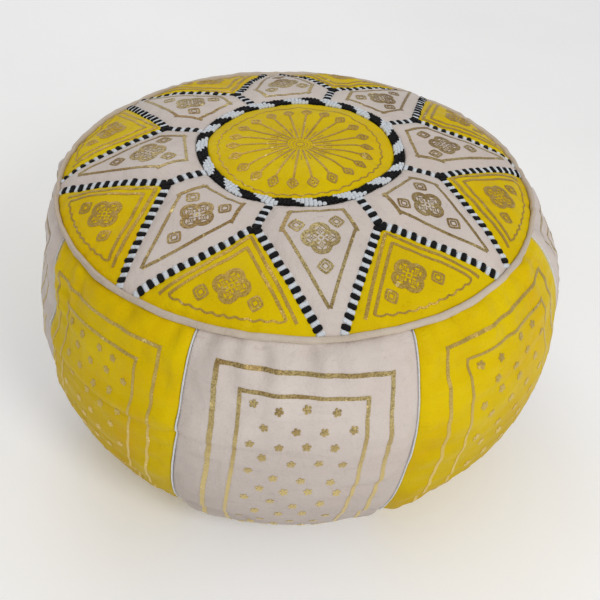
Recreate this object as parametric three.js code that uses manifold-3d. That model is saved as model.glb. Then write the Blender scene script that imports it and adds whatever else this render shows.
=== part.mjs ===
// Moroccan leather pouf: a stuffed cover of cut leather pieces, laced and piped together,
// with a zip in the base. Millimetres, +Z up, standing on z = 0, centred on the Z axis.
// Azimuths are measured from -Y towards +X; kite 1 points along -Y.
import * as THREE from "three";
import { mergeVertices } from "three/addons/utils/BufferGeometryUtils.js";
import Module from "manifold-3d";

const wasm = await Module();
wasm.setup();

// Overall form of the stuffed cover, to the outer face of the leather.
const RIM_RADIUS = 228;
const RIM_HEIGHT = 274;
const GIRTH_RADIUS = 265;
const GIRTH_HEIGHT = 155;
const BASE_RADIUS = 182;
const CROWN_HEIGHT = 33;
const CROWN_POWER = 3.6;
const SHOULDER_POWER = 3;
const FOOT_POWER = 3.2;

// Leather and seams.
const LEATHER = 2;
const SEAM_GAP = 0.35;
const FOOT_CLEARANCE = 0.6;
const PIECES = 8;
const SIDE_PANEL_OFFSET = -7;
const WELT_WIDTH = 2;
const WELT_PROUD = 1.2;
const PIPING_RADIUS = 3.2;

// Top: round medallion, plaited braid, kites, triangles and the lacing between them.
const MEDALLION_RADIUS = 88;
const BRAID_WIDTH = 11;
const BRAID_PROUD = 3;
const SHOULDER_RADIUS = 135;
const TIP_HALF_WIDTH = 9;
const LACING_WIDTH = 9.5;
const LACING_PROUD = 2;

// Zip in the base, along X.
const WINDOW_HALF_LENGTH = 145;
const WINDOW_HALF_WIDTH = 7.5;
const HEM_WIDTH = 8;
const HEM_HEIGHT = 3;
const TAPE_THICKNESS = 0.8;
const TAPE_INNER_Y = 3.2;
const TAPE_WIDTH = 18;
const TAPE_END_MARGIN = 5;
const TOOTH_PITCH = 6;
const TOOTH_WIDTH = 2.3;
const TOOTH_REACH = 1;
const TOOTH_HEIGHT = 2.4;
const SPINE_INNER_Y = 1.9;
const STOP_LENGTH = 3;
const SLIDER_LENGTH = 14;
const SLIDER_HALF_WIDTH = 5.5;
const SLIDER_PLATE = 1.3;
const SLIDER_POST = 3;
const ARCH_HALF_LENGTH = 3.5;
const ARCH_HALF_WIDTH = 1.2;
const ARCH_BAR = 0.8;
const ARCH_DROP = 2.5;
const PULL_LENGTH = 26;
const PULL_HALF_WIDTH = 3.6;
const PULL_THICKNESS = 0.9;
const ZIP_CLEARANCE = 0.3;

// Inner bag and filling.
const BAG_THICKNESS = 1;
const BAG_CLEARANCE = 1.5;

// Facets.
const FINE_SEGMENTS = 48;
const COARSE_SEGMENTS = 24;
const SIDE_STEPS = 5;
const DOME_STEPS = 6;
const MEDALLION_STEPS = 3;
const INNER_DOME_STEPS = 3;
const PIPING_SIDES = 8;
const POINT_CROWDING = 0.6;
const TALL = 1000;

const BRAID_OUTER = MEDALLION_RADIUS + BRAID_WIDTH;
const TOP_EDGE_RADIUS = RIM_RADIUS - PIPING_RADIUS - SEAM_GAP;
const SIDE_TOP_HEIGHT = RIM_HEIGHT - PIPING_RADIUS - SEAM_GAP;
const SECTOR = (2 * Math.PI) / PIECES;
const TAPE_BOTTOM = LEATHER + HEM_HEIGHT + ZIP_CLEARANCE;
const CHAIN_MIDDLE = TAPE_BOTTOM + TAPE_THICKNESS / 2;
const CHAIN_BOTTOM = CHAIN_MIDDLE - TOOTH_HEIGHT / 2;
const CHAIN_TOP = CHAIN_MIDDLE + TOOTH_HEIGHT / 2;
const SLIDER_BOTTOM = CHAIN_BOTTOM - ZIP_CLEARANCE - SLIDER_PLATE;
const SLIDER_TOP = CHAIN_TOP + ZIP_CLEARANCE + SLIDER_PLATE;
const STOP_END = WINDOW_HALF_LENGTH - 1;
const SLIDER_CLOSED_X = STOP_END - STOP_LENGTH - ZIP_CLEARANCE - SLIDER_LENGTH / 2;
const SLIDER_OPEN_X = PULL_LENGTH + 3 - WINDOW_HALF_LENGTH;
const BAG_FLOOR = SLIDER_TOP + ZIP_CLEARANCE + 0.5;

const v2 = (x, y) => new THREE.Vector2(x, y);

// ---- Outer form -------------------------------------------------------------------------

function sideRadius(z) {
  if (z > GIRTH_HEIGHT) {
    const rise = (z - GIRTH_HEIGHT) / (RIM_HEIGHT - GIRTH_HEIGHT);
    return GIRTH_RADIUS - (GIRTH_RADIUS - RIM_RADIUS) * rise ** SHOULDER_POWER;
  }
  const fall = (GIRTH_HEIGHT - z) / GIRTH_HEIGHT;
  return GIRTH_RADIUS - (GIRTH_RADIUS - BASE_RADIUS) * fall ** FOOT_POWER;
}

function domeHeight(r) {
  return RIM_HEIGHT + CROWN_HEIGHT * (1 - (r / RIM_RADIUS) ** CROWN_POWER);
}

// Points up the side from foot to top, closer together where the side bends most.
function sideProfile(foot, top, steps) {
  const points = [];
  for (let i = steps; i > 0; i--) {
    const share = (i / steps) ** POINT_CROWDING;
    const z = GIRTH_HEIGHT - (GIRTH_HEIGHT - foot) * share;
    points.push(v2(sideRadius(z), z));
  }
  for (let i = 0; i <= steps; i++) {
    const share = (i / steps) ** POINT_CROWDING;
    const z = GIRTH_HEIGHT + (top - GIRTH_HEIGHT) * share;
    points.push(v2(sideRadius(z), z));
  }
  return points;
}

// Points along the dome from one radius in to a smaller one.
function domeProfile(outer, inner, steps) {
  const points = [];
  for (let i = 0; i <= steps; i++) {
    const share = i / steps;
    const r = outer * (1 - share) + inner * share;
    points.push(v2(r, domeHeight(r)));
  }
  return points;
}

// A profile moved outwards along its normals (inwards for a negative distance).
function offsetProfile(points, distance) {
  return points.map((point, i) => {
    const before = points[Math.max(i - 1, 0)];
    const after = points[Math.min(i + 1, points.length - 1)];
    const along = after.clone().sub(before).normalize();
    const r = Math.max(point.x + along.y * distance, 0);
    return v2(r, point.y - along.x * distance);
  });
}

// ---- Solids -----------------------------------------------------------------------------

function solid(geometry) {
  const bare = geometry.clone();
  bare.deleteAttribute("normal");
  bare.deleteAttribute("uv");
  const merged = mergeVertices(bare, 1e-4);
  return new wasm.Manifold(
    new wasm.Mesh({
      numProp: 3,
      vertProperties: new Float32Array(merged.attributes.position.array),
      triVerts: new Uint32Array(merged.index.array),
    }),
  );
}

function geometryOf(body) {
  const mesh = body.getMesh();
  const geometry = new THREE.BufferGeometry();
  const positions = new THREE.BufferAttribute(mesh.vertProperties, mesh.numProp);
  geometry.setAttribute("position", positions);
  geometry.setIndex(new THREE.BufferAttribute(mesh.triVerts, 1));
  return geometry;
}

// A solid of revolution about Z from (radius, height) points, listed upwards on the outside.
function revolve(points, segments = FINE_SEGMENTS) {
  return solid(new THREE.LatheGeometry(points, segments).rotateX(Math.PI / 2));
}

// A skin that follows a profile, from `below` under it to `above` over it.
function skin(profile, below, above) {
  const outside = offsetProfile(profile, above);
  const inside = offsetProfile(profile, -below).reverse();
  return revolve([...outside, ...inside, outside[0]]);
}

function prism(outline, bottom, top) {
  const shape = new THREE.Shape(outline);
  const depth = top - bottom;
  return solid(
    new THREE.ExtrudeGeometry(shape, { depth, bevelEnabled: false }).translate(0, 0, bottom),
  );
}

function block(x0, x1, y0, y1, z0, z1) {
  const box = new THREE.BoxGeometry(x1 - x0, y1 - y0, z1 - z0);
  return solid(box.translate((x0 + x1) / 2, (y0 + y1) / 2, (z0 + z1) / 2));
}

// A (y, z) outline drawn out along X, centred on x.
function alongX(outline, x, length) {
  const shape = new THREE.Shape(outline);
  const bar = new THREE.ExtrudeGeometry(shape, { depth: length, bevelEnabled: false });
  bar.rotateX(Math.PI / 2).rotateZ(Math.PI / 2);
  return solid(bar.translate(x - length / 2, 0, 0));
}

// An outline with every edge moved inwards; the outline is listed anticlockwise.
function inset(outline, distance) {
  const count = outline.length;
  return outline.map((corner, i) => {
    const before = outline[(i + count - 1) % count];
    const after = outline[(i + 1) % count];
    const a = corner.clone().sub(before).normalize();
    const b = after.clone().sub(corner).normalize();
    const turn = a.clone().add(b);
    const scale = distance / (1 + a.dot(b));
    return v2(corner.x - turn.y * scale, corner.y + turn.x * scale);
  });
}

// A plan point at a radius and an azimuth.
const plan = (radius, azimuth) => v2(radius * Math.sin(azimuth), -radius * Math.cos(azimuth));

// ---- Outlines of the top pieces, drawn to the middle of the lacing -----------------------

const TIP_ANGLE = Math.asin(TIP_HALF_WIDTH / RIM_RADIUS);

// The lacing line from a kite's shoulder to its tip, carried on until it meets the kite's axis.
function kiteOutline() {
  const shoulder = plan(SHOULDER_RADIUS, SECTOR / 2);
  const tip = plan(RIM_RADIUS, TIP_ANGLE);
  const run = tip.clone().sub(shoulder);
  const meeting = shoulder.clone().addScaledVector(run, -shoulder.x / run.x);
  return [v2(0, 0), v2(0, meeting.y), shoulder, v2(-shoulder.x, shoulder.y)];
}

function kitePrism(distance) {
  const [hub, tip, right, left] = kiteOutline();
  return prism(inset([hub, left, tip, right], distance), -TALL, TALL);
}

function trianglePrism(distance) {
  const apex = plan(SHOULDER_RADIUS, 0);
  const right = plan(RIM_RADIUS, SECTOR / 2 - TIP_ANGLE);
  const run = right.clone().sub(apex).multiplyScalar(2);
  const left = v2(apex.x - run.x, apex.y + run.y);
  return prism(inset([apex, left, apex.clone().add(run)], distance), -TALL, TALL);
}

function sectorPrism() {
  const reach = 2 * GIRTH_RADIUS;
  return prism([v2(0, 0), plan(reach, -SECTOR / 2), plan(reach, SECTOR / 2)], -TALL, TALL);
}

const degrees = (radians) => (radians * 180) / Math.PI;
const turned = (body, azimuth) => body.rotate([0, 0, degrees(azimuth)]);

// ---- Assembly ---------------------------------------------------------------------------

const pouf = new THREE.Group();
pouf.name = "moroccan_leather_pouf";

const LOOKS = {
  natural: { color: 0xcbbdb4, roughness: 0.55, metalness: 0 },
  yellow: { color: 0xd9b60a, roughness: 0.5, metalness: 0 },
  piping: { color: 0xb8aa96, roughness: 0.6, metalness: 0 },
  welt: { color: 0xe9e4dc, roughness: 0.8, metalness: 0 },
  thread: { color: 0xa9abb5, roughness: 0.85, metalness: 0 },
  base: { color: 0x9a7a52, roughness: 0.7, metalness: 0 },
  tape: { color: 0x4a4038, roughness: 0.9, metalness: 0 },
  brass: { color: 0xb08d4a, roughness: 0.35, metalness: 1 },
  calico: { color: 0xe6decb, roughness: 0.95, metalness: 0 },
  cotton: { color: 0xf0ead8, roughness: 1, metalness: 0 },
};

function place(name, body, look, azimuth = 0) {
  const mesh = new THREE.Mesh(geometryOf(body), new THREE.MeshStandardMaterial(LOOKS[look]));
  mesh.name = name;
  mesh.rotation.z = azimuth;
  pouf.add(mesh);
}

// Top: medallion and braid.
const medallionProfile = domeProfile(MEDALLION_RADIUS - SEAM_GAP, 0, MEDALLION_STEPS);
const medallion = revolve([
  v2(0, domeHeight(0) - LEATHER),
  ...offsetProfile(medallionProfile, -LEATHER).reverse().slice(1),
  ...medallionProfile,
]);
place("top_medallion", medallion, "yellow");

function braidPoint(share, rise) {
  const r = MEDALLION_RADIUS + BRAID_WIDTH * share;
  return v2(r, domeHeight(r) + rise);
}
const braid = revolve([
  braidPoint(0, -LEATHER),
  braidPoint(1, -LEATHER),
  braidPoint(1, BRAID_PROUD / 2),
  braidPoint(0.7, BRAID_PROUD),
  braidPoint(0.3, BRAID_PROUD),
  braidPoint(0, BRAID_PROUD / 2),
  braidPoint(0, -LEATHER),
]);
place("medallion_braid", braid, "thread");

// Top: kites, triangles and the Y-shaped runs of lacing that join them.
const topProfile = domeProfile(TOP_EDGE_RADIUS, BRAID_OUTER + SEAM_GAP, DOME_STEPS);
const topLeather = skin(topProfile, LEATHER, 0);
const topLacing = skin(topProfile, LEATHER, LACING_PROUD);
const leatherInset = LACING_WIDTH / 2 + SEAM_GAP;
const kite = topLeather.intersect(kitePrism(leatherInset));
const triangle = topLeather.intersect(trianglePrism(leatherInset));
const lacing = topLacing
  .intersect(sectorPrism())
  .subtract(turned(kitePrism(LACING_WIDTH / 2), -SECTOR / 2))
  .subtract(turned(kitePrism(LACING_WIDTH / 2), SECTOR / 2))
  .subtract(trianglePrism(LACING_WIDTH / 2));

for (let i = 0; i < PIECES; i++) {
  place(`top_kite_${i + 1}`, kite, "natural", i * SECTOR);
  place(`top_triangle_${i + 1}`, triangle, "yellow", (i + 0.5) * SECTOR);
  place(`lacing_${i + 1}`, lacing, "thread", (i + 0.5) * SECTOR);
}

// Rim: one round piping between top and side.
const pipingSection = [];
for (let i = 0; i <= PIPING_SIDES; i++) {
  const angle = (2 * Math.PI * i) / PIPING_SIDES;
  const r = RIM_RADIUS + PIPING_RADIUS * Math.cos(angle);
  pipingSection.push(v2(r, RIM_HEIGHT + PIPING_RADIUS * Math.sin(angle)));
}
place("rim_piping", revolve(pipingSection), "piping");

// Side: alternating natural and yellow panels with a raw-edged welt standing in each seam.
const sideOutline = sideProfile(FOOT_CLEARANCE, SIDE_TOP_HEIGHT, SIDE_STEPS);
const sideLeather = skin(sideOutline, LEATHER, 0);
const panelEdge = WELT_WIDTH / 2 + SEAM_GAP;
const reach = 2 * GIRTH_RADIUS;
const panelSector = [v2(0, 0), plan(reach, -SECTOR / 2), plan(reach, SECTOR / 2)];
const panel = sideLeather.intersect(prism(inset(panelSector, panelEdge), -TALL, TALL));
const weltSlab = block(-WELT_WIDTH / 2, WELT_WIDTH / 2, -reach, 0, FOOT_CLEARANCE, RIM_HEIGHT);
const welt = skin(sideOutline, LEATHER, WELT_PROUD).intersect(weltSlab);
const panelOffset = THREE.MathUtils.degToRad(SIDE_PANEL_OFFSET);
for (let i = 0; i < PIECES; i++) {
  const look = i % 2 === 0 ? "natural" : "yellow";
  place(`side_panel_${i + 1}`, panel, look, panelOffset + i * SECTOR);
  place(`side_welt_${i + 1}`, welt, "welt", panelOffset + (i + 0.5) * SECTOR);
}

// Base: two flat halves with a folded hem on each side of the zip window.
const baseEdge = offsetProfile(sideOutline, -LEATHER)[0].x - SEAM_GAP;
const baseDisc = revolve([
  v2(0, 0),
  v2(baseEdge, 0),
  v2(baseEdge, LEATHER),
  v2(0, LEATHER),
]);
const hemLength = WINDOW_HALF_LENGTH + HEM_WIDTH / 2;
const hemEdge = -WINDOW_HALF_WIDTH;
const baseHalf = baseDisc
  .intersect(block(-reach, reach, -reach, -SEAM_GAP / 2, -1, LEATHER + 1))
  .add(block(-hemLength, hemLength, hemEdge - HEM_WIDTH, hemEdge, 1, LEATHER + HEM_HEIGHT))
  .subtract(block(-WINDOW_HALF_LENGTH, WINDOW_HALF_LENGTH, hemEdge, 1, -1, LEATHER + HEM_HEIGHT));
place("base_half_front", baseHalf, "base");
place("base_half_rear", baseHalf, "base", Math.PI);

// Zip: two tapes, two rows of teeth that mesh, an end stop at either end.
const tapeEnd = WINDOW_HALF_LENGTH + TAPE_END_MARGIN;
const tapeOuter = TAPE_INNER_Y + TAPE_WIDTH;
const tapeTop = TAPE_BOTTOM + TAPE_THICKNESS;
const tape = block(-tapeEnd, tapeEnd, -tapeOuter, -TAPE_INNER_Y, TAPE_BOTTOM, tapeTop);
place("zipper_tape_front", tape, "tape");
place("zipper_tape_rear", tape, "tape", Math.PI);

const chainStart = SLIDER_OPEN_X - SLIDER_LENGTH / 2 + STOP_LENGTH + ZIP_CLEARANCE;
const postCentre = SLIDER_LENGTH / 2 - SLIDER_POST / 2;
const chainEnd = SLIDER_CLOSED_X + postCentre - SLIDER_POST / 2 - ZIP_CLEARANCE;
const spineOuter = TAPE_INNER_Y - ZIP_CLEARANCE;

// One row of teeth in plan: a spine on the -Y side with teeth that reach past the middle.
function toothRow(firstTooth) {
  const outline = [v2(chainStart, -spineOuter), v2(chainEnd, -spineOuter)];
  outline.push(v2(chainEnd, -SPINE_INNER_Y));
  const teeth = [];
  for (let x = firstTooth; x + TOOTH_WIDTH < chainEnd; x += TOOTH_PITCH) teeth.push(x);
  for (const x of teeth.reverse()) {
    outline.push(v2(x + TOOTH_WIDTH, -SPINE_INNER_Y), v2(x + TOOTH_WIDTH, TOOTH_REACH));
    outline.push(v2(x, TOOTH_REACH), v2(x, -SPINE_INNER_Y));
  }
  outline.push(v2(chainStart, -SPINE_INNER_Y));
  return outline;
}
const frontTeeth = toothRow(chainStart + 1);
const rearTeeth = toothRow(chainStart + 1 + TOOTH_PITCH / 2).map((p) => v2(p.x, -p.y));
place("zipper_teeth_front", prism(frontTeeth, CHAIN_BOTTOM, CHAIN_TOP), "brass");
place("zipper_teeth_rear", prism(rearTeeth.reverse(), CHAIN_BOTTOM, CHAIN_TOP), "brass");

function endStop(x0, x1) {
  return block(x0, x1, -spineOuter, spineOuter, CHAIN_BOTTOM, CHAIN_TOP);
}
const openStopEnd = chainStart - ZIP_CLEARANCE;
place("zipper_stop_open_end", endStop(openStopEnd - STOP_LENGTH, openStopEnd), "brass");
place("zipper_stop_closed_end", endStop(STOP_END - STOP_LENGTH, STOP_END), "brass");

// Slider: two channelled plates joined by a post, with an arch below for the pull.
const channelY = spineOuter + 2 * ZIP_CLEARANCE;
const sliderPlate = [
  v2(-SLIDER_HALF_WIDTH, SLIDER_BOTTOM),
  v2(SLIDER_HALF_WIDTH, SLIDER_BOTTOM),
  v2(SLIDER_HALF_WIDTH, TAPE_BOTTOM - ZIP_CLEARANCE),
  v2(channelY, TAPE_BOTTOM - ZIP_CLEARANCE),
  v2(channelY, SLIDER_BOTTOM + SLIDER_PLATE),
  v2(-channelY, SLIDER_BOTTOM + SLIDER_PLATE),
  v2(-channelY, TAPE_BOTTOM - ZIP_CLEARANCE),
  v2(-SLIDER_HALF_WIDTH, TAPE_BOTTOM - ZIP_CLEARANCE),
];
const upperPlate = sliderPlate.map((p) => v2(p.x, 2 * CHAIN_MIDDLE - p.y)).reverse();
const postX = SLIDER_CLOSED_X + postCentre;
const archFoot = SLIDER_BOTTOM - ARCH_DROP;
function archPart(x0, x1, z0, z1) {
  return block(
    SLIDER_CLOSED_X + x0,
    SLIDER_CLOSED_X + x1,
    -ARCH_HALF_WIDTH,
    ARCH_HALF_WIDTH,
    z0,
    z1,
  );
}
const slider = alongX(sliderPlate, SLIDER_CLOSED_X, SLIDER_LENGTH)
  .add(alongX(upperPlate, SLIDER_CLOSED_X, SLIDER_LENGTH))
  .add(
    block(
      postX - SLIDER_POST / 2,
      postX + SLIDER_POST / 2,
      -TOOTH_REACH,
      TOOTH_REACH,
      SLIDER_BOTTOM + SLIDER_PLATE / 2,
      SLIDER_TOP - SLIDER_PLATE / 2,
    ),
  )
  .add(archPart(-ARCH_HALF_LENGTH, ARCH_HALF_LENGTH, archFoot, archFoot + ARCH_BAR))
  .add(archPart(-ARCH_HALF_LENGTH, ARCH_BAR - ARCH_HALF_LENGTH, archFoot, SLIDER_BOTTOM + 0.5))
  .add(archPart(ARCH_HALF_LENGTH - ARCH_BAR, ARCH_HALF_LENGTH, archFoot, SLIDER_BOTTOM + 0.5));
place("zipper_slider", slider, "brass");

// Pull: a flat tab whose crossbar passes through the arch, lying along -X under the teeth.
const pullMiddle = (archFoot + ARCH_BAR + SLIDER_BOTTOM) / 2;
const pullBottom = pullMiddle - PULL_THICKNESS / 2;
const pullTop = pullMiddle + PULL_THICKNESS / 2;
const crossbar = PULL_THICKNESS / 2;
const holeEnd = ARCH_HALF_LENGTH + 3 * ZIP_CLEARANCE;
const holeHalfWidth = ARCH_HALF_WIDTH + ZIP_CLEARANCE;
const pullTab = [
  v2(crossbar, -PULL_HALF_WIDTH),
  v2(crossbar, PULL_HALF_WIDTH),
  v2(2 - PULL_LENGTH, PULL_HALF_WIDTH),
  v2(-PULL_LENGTH, PULL_HALF_WIDTH - 2),
  v2(-PULL_LENGTH, 2 - PULL_HALF_WIDTH),
  v2(2 - PULL_LENGTH, -PULL_HALF_WIDTH),
];
const pull = prism(pullTab, pullBottom, pullTop)
  .subtract(block(-holeEnd, -crossbar, -holeHalfWidth, holeHalfWidth, -1, SLIDER_BOTTOM))
  .translate([SLIDER_CLOSED_X, 0, 0]);
place("zipper_pull", pull, "brass");

// Inside: a cotton bag sewn from a top and a base half, packed with filling.
function innerForm(distance, floor) {
  const outside = [
    ...sideProfile(FOOT_CLEARANCE, RIM_HEIGHT, SIDE_STEPS),
    ...domeProfile(RIM_RADIUS, 0, INNER_DOME_STEPS).slice(1),
  ];
  const moved = offsetProfile(outside, -distance);
  const above = moved.filter((p) => p.y > floor + 1);
  const below = moved[moved.length - above.length - 1];
  const share = (floor - below.y) / (above[0].y - below.y);
  const corner = below.clone().lerp(above[0], share);
  return revolve([v2(0, floor), corner, ...above], COARSE_SEGMENTS);
}
const bagDistance = LEATHER + BAG_CLEARANCE;
const coreDistance = bagDistance + BAG_THICKNESS;
const bag = innerForm(bagDistance, BAG_FLOOR).subtract(
  innerForm(coreDistance, BAG_FLOOR + BAG_THICKNESS),
);
const bagSeam = GIRTH_HEIGHT + SEAM_GAP / 2;
const bagTop = bag.intersect(block(-reach, reach, -reach, reach, bagSeam, TALL));
const bagBase = bag.intersect(block(-reach, reach, -reach, reach, 0, bagSeam - SEAM_GAP));
place("inner_bag_top", bagTop, "calico");
place("inner_bag_base", bagBase, "calico");
place("filling", innerForm(coreDistance + SEAM_GAP, BAG_FLOOR + BAG_THICKNESS + SEAM_GAP), "cotton");

export default pouf;
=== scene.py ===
import math

import bpy
import numpy as np
from mathutils import Matrix, Vector
from mathutils.geometry import delaunay_2d_cdt


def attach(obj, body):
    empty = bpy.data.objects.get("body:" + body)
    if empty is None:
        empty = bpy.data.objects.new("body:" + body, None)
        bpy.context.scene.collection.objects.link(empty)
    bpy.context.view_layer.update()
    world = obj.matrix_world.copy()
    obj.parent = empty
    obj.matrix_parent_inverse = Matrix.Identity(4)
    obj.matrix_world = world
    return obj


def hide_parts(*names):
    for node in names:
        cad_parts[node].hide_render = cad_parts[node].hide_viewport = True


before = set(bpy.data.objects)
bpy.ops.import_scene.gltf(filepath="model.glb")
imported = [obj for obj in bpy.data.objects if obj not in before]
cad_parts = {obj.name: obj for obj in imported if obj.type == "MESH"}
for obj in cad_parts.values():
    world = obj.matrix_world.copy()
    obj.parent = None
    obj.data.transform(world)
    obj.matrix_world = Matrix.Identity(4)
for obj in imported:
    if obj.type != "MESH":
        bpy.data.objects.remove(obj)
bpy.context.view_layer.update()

# A round leather floor pouf. Everything is drawn in millimetres on the skin of the cover: a point
# has an azimuth, measured from -Y towards +X, a distance down the skin from the middle of the
# crown, and a height above the leather. MM turns it into metres at the end.
MM = 0.001
TAU = 2 * math.pi

# ---- Sizes, in millimetres ---------------------------------------------------------------

# Outer form.
RIM_RADIUS = 228
RIM_HEIGHT = 274
GIRTH_RADIUS = 265
GIRTH_HEIGHT = 155
BASE_RADIUS = 182
CROWN_HEIGHT = 33
CROWN_POWER = 3.6
SHOULDER_POWER = 3
FOOT_POWER = 3.2

# Leather and seams.
LEATHER = 2
SEAM_GAP = 0.35
PIPING_RADIUS = 3.2
PIECES = 8
SECTOR = TAU / PIECES
MIRROR = np.array([-1, 1])
BOTH_SIDES = (np.ones(2), MIRROR)
SIDE_OFFSET = math.radians(-7)
EDGE_ROUND = 2.6
EDGE_DROP = 1.1

# Top pattern.
MEDALLION_RADIUS = 88
BRAID_OUTER = 99
SHOULDER_RADIUS = 135
TIP_HALF_WIDTH = 9
TOP_EDGE_RADIUS = RIM_RADIUS - 1.5
LACING_END_RADIUS = RIM_RADIUS - PIPING_RADIUS

# Lacing and braid.
STITCH_PITCH = 4.4
STITCH_LENGTH = 8.2
STITCH_HEIGHT = 2.3
BRAID_ROWS = 160
BRAID_PAIRS = 16
BRAID_SLANT = math.radians(0.78)
BRAID_INNER = 89.3
BRAID_HEIGHT = 2.2
BRAID_STEPS = 25
STRAND_LEAST = 1.6
STRAND_LENGTH = 3.4
STRAND_OVERLAP = 0.7
STRAND_SPREAD = 1.06
BRAID_START = 0.03

# Zip in the base.
WINDOW_HALF_LENGTH = 145
WINDOW_HALF_WIDTH = 7.5
BAG_FLOOR = 9.4
BAG_DEPTH = 4.5
CORE_DEPTH = 6.2

# Gold foil.
FOIL_RISE = 0.34
FLOWER_RISE = 0.5
FOIL_ROOT = 0.5

# The cover as it sits: pushed a little sideways, turned a little on its filling. Its top is pushed
# in the middle and pulled at one junction of seams, each by so much in x and y.
SIDE_PUSH = 4.5
SIDE_PUSH_DEPTH = 130
CROWN_PUSH = (4.0, 5.5)
CROWN_PUSH_END = 205
FRONT_PULL = (-1.5, 7.0)
FRONT_PULL_REACH = 34
TWIST_TOP = math.radians(1.5)
TWIST_PER_MM = math.radians(0.02)

# Relief of the leather. Grooves along the lacing, the braid, the side seams and the rim have a depth
# and a width. The rest is random: across and down the skin, and height; on top, size and height. The
# side keeps nothing wider than WIDE, so that its outline stays as drawn.
SEAM_GROOVES = ((1.2, 6), (0.6, 9), (1.6, 8), (1.6, 7))
TOP_DENTS = ((70, 1.5), (26, 0.45))
WIDE_DENTS = (110, 80, 1.3)
GATHERS = (15, 100, 2.5)
GATHER_REACH = 42
CROSS_WRINKLES = (60, 9, 0.75)
SEAM_WRINKLES = (36, 14, 1.8)
SEAM_WRINKLE_REACH = 22
WIDE = 150

# The crease round the waist: a ridge with a groove under it, deepest where the cover folds.
WAIST_HEIGHT = 182
WAIST_WANDER = 6
WAIST_RIDGE = (3.0, 9)
WAIST_GROOVE = (2.2, 4)
WAIST_GROOVE_DROP = 10
WAIST_PATCHES = (160, 60)
WAIST_FOLD_AT = math.radians(-38)
WAIST_FOLD_WIDTH = 0.6

# How far each part of the side is dragged round from its even place, in degrees: at these azimuths,
# at the rim, the waist, near the foot and at the foot, by their depth below the rim.
DRAG_AT = (-180, -120, -74.5, -29.5, -23, 15.5, 54, 60.5, 115, 180)
DRAG_DEPTHS = (0, 75, 210, 255)
DRAG_ROWS = (
    (0, 0, 1.5, 1.0, 1.0, -0.4, 1.5, 2.0, 1.0, 0),
    (0, 0, 4.0, 0.5, 1.4, -0.4, 4.2, 9.0, 3.0, 0),
    (0, 0, 3.0, -1.1, 0.2, -1.0, 4.2, 8.0, 3.0, 0),
    (0, 0, 3.0, -1.1, 0.6, 4.5, 6.5, 9.0, 3.0, 0),
)

# Where the stuffing has settled: azimuth in degrees, height, spread both ways, and push outwards.
SETTLED = (
    (-86, 215, 42, 45, -15.0),
    (-72, 85, 36, 30, -6.0),
    (74, 238, 30, 32, -4.5),
    (72, 155, 32, 34, 5.0),
    (66, 55, 36, 30, -6.0),
)

RNG = np.random.default_rng(7)

# ---- The skin ----------------------------------------------------------------------------


def side_radius(z):
    rise = np.clip((z - GIRTH_HEIGHT) / (RIM_HEIGHT - GIRTH_HEIGHT), 0, 1)
    fall = np.clip((GIRTH_HEIGHT - z) / GIRTH_HEIGHT, 0, 1)
    above = (GIRTH_RADIUS - RIM_RADIUS) * rise**SHOULDER_POWER
    below = (GIRTH_RADIUS - BASE_RADIUS) * fall**FOOT_POWER
    return GIRTH_RADIUS - above - below


def crown_height(r):
    return RIM_HEIGHT + CROWN_HEIGHT * (1 - (r / RIM_RADIUS) ** CROWN_POWER)


def skin_profile():
    """Distance down the skin, radius, height and outward normal, one row for each millimetre."""
    crown_r = np.linspace(0, RIM_RADIUS, 300)
    side_z = np.linspace(RIM_HEIGHT, 0, 500)[1:]
    base_r = np.linspace(BASE_RADIUS, 0, 200)[1:]
    r = np.concatenate([crown_r, side_radius(side_z), base_r])
    z = np.concatenate([crown_height(crown_r), side_z, np.zeros_like(base_r)])
    t = np.concatenate([[0], np.cumsum(np.hypot(np.diff(r), np.diff(z)))])
    rim_t, foot_t = t[len(crown_r) - 1], t[len(crown_r) + len(side_z) - 1]
    even = np.linspace(0, t[-1], int(t[-1]))
    r, z = np.interp(even, t, r), np.interp(even, t, z)
    reach = 5
    along_r = np.convolve(np.pad(np.gradient(r), reach, "edge"), np.ones(11) / 11, "valid")
    along_z = np.convolve(np.pad(np.gradient(z), reach, "edge"), np.ones(11) / 11, "valid")
    length = np.hypot(along_r, along_z)
    return even, r, z, -along_z / length, along_r / length, rim_t, foot_t


SKIN_T, SKIN_R, SKIN_Z, NORMAL_R, NORMAL_Z, RIM_T, FOOT_T = skin_profile()
END_T = SKIN_T[-1]


def smooth_step(low, high, value):
    share = np.clip((value - low) / (high - low), 0, 1)
    return share * share * (3 - 2 * share)


def half_turn(azimuth):
    """The same azimuth between half a turn back and half a turn on."""
    return (azimuth + math.pi) % TAU - math.pi


def fold(azimuth, centre=0.0):
    """The azimuth from the nearest of eight axes, the first at centre."""
    return (azimuth - centre + SECTOR / 2) % SECTOR - SECTOR / 2


def plan(radius, azimuth):
    return np.array([radius * math.sin(azimuth), -radius * math.cos(azimuth)])


SHOULDER = plan(SHOULDER_RADIUS, SECTOR / 2)
TIP = plan(RIM_RADIUS, math.asin(TIP_HALF_WIDTH / RIM_RADIUS))


def line_distance(points, start, end):
    run = end - start
    share = np.clip((points - start) @ run / (run @ run), 0, 1)
    return np.linalg.norm(points - start - share[..., None] * run, axis=-1)


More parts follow.
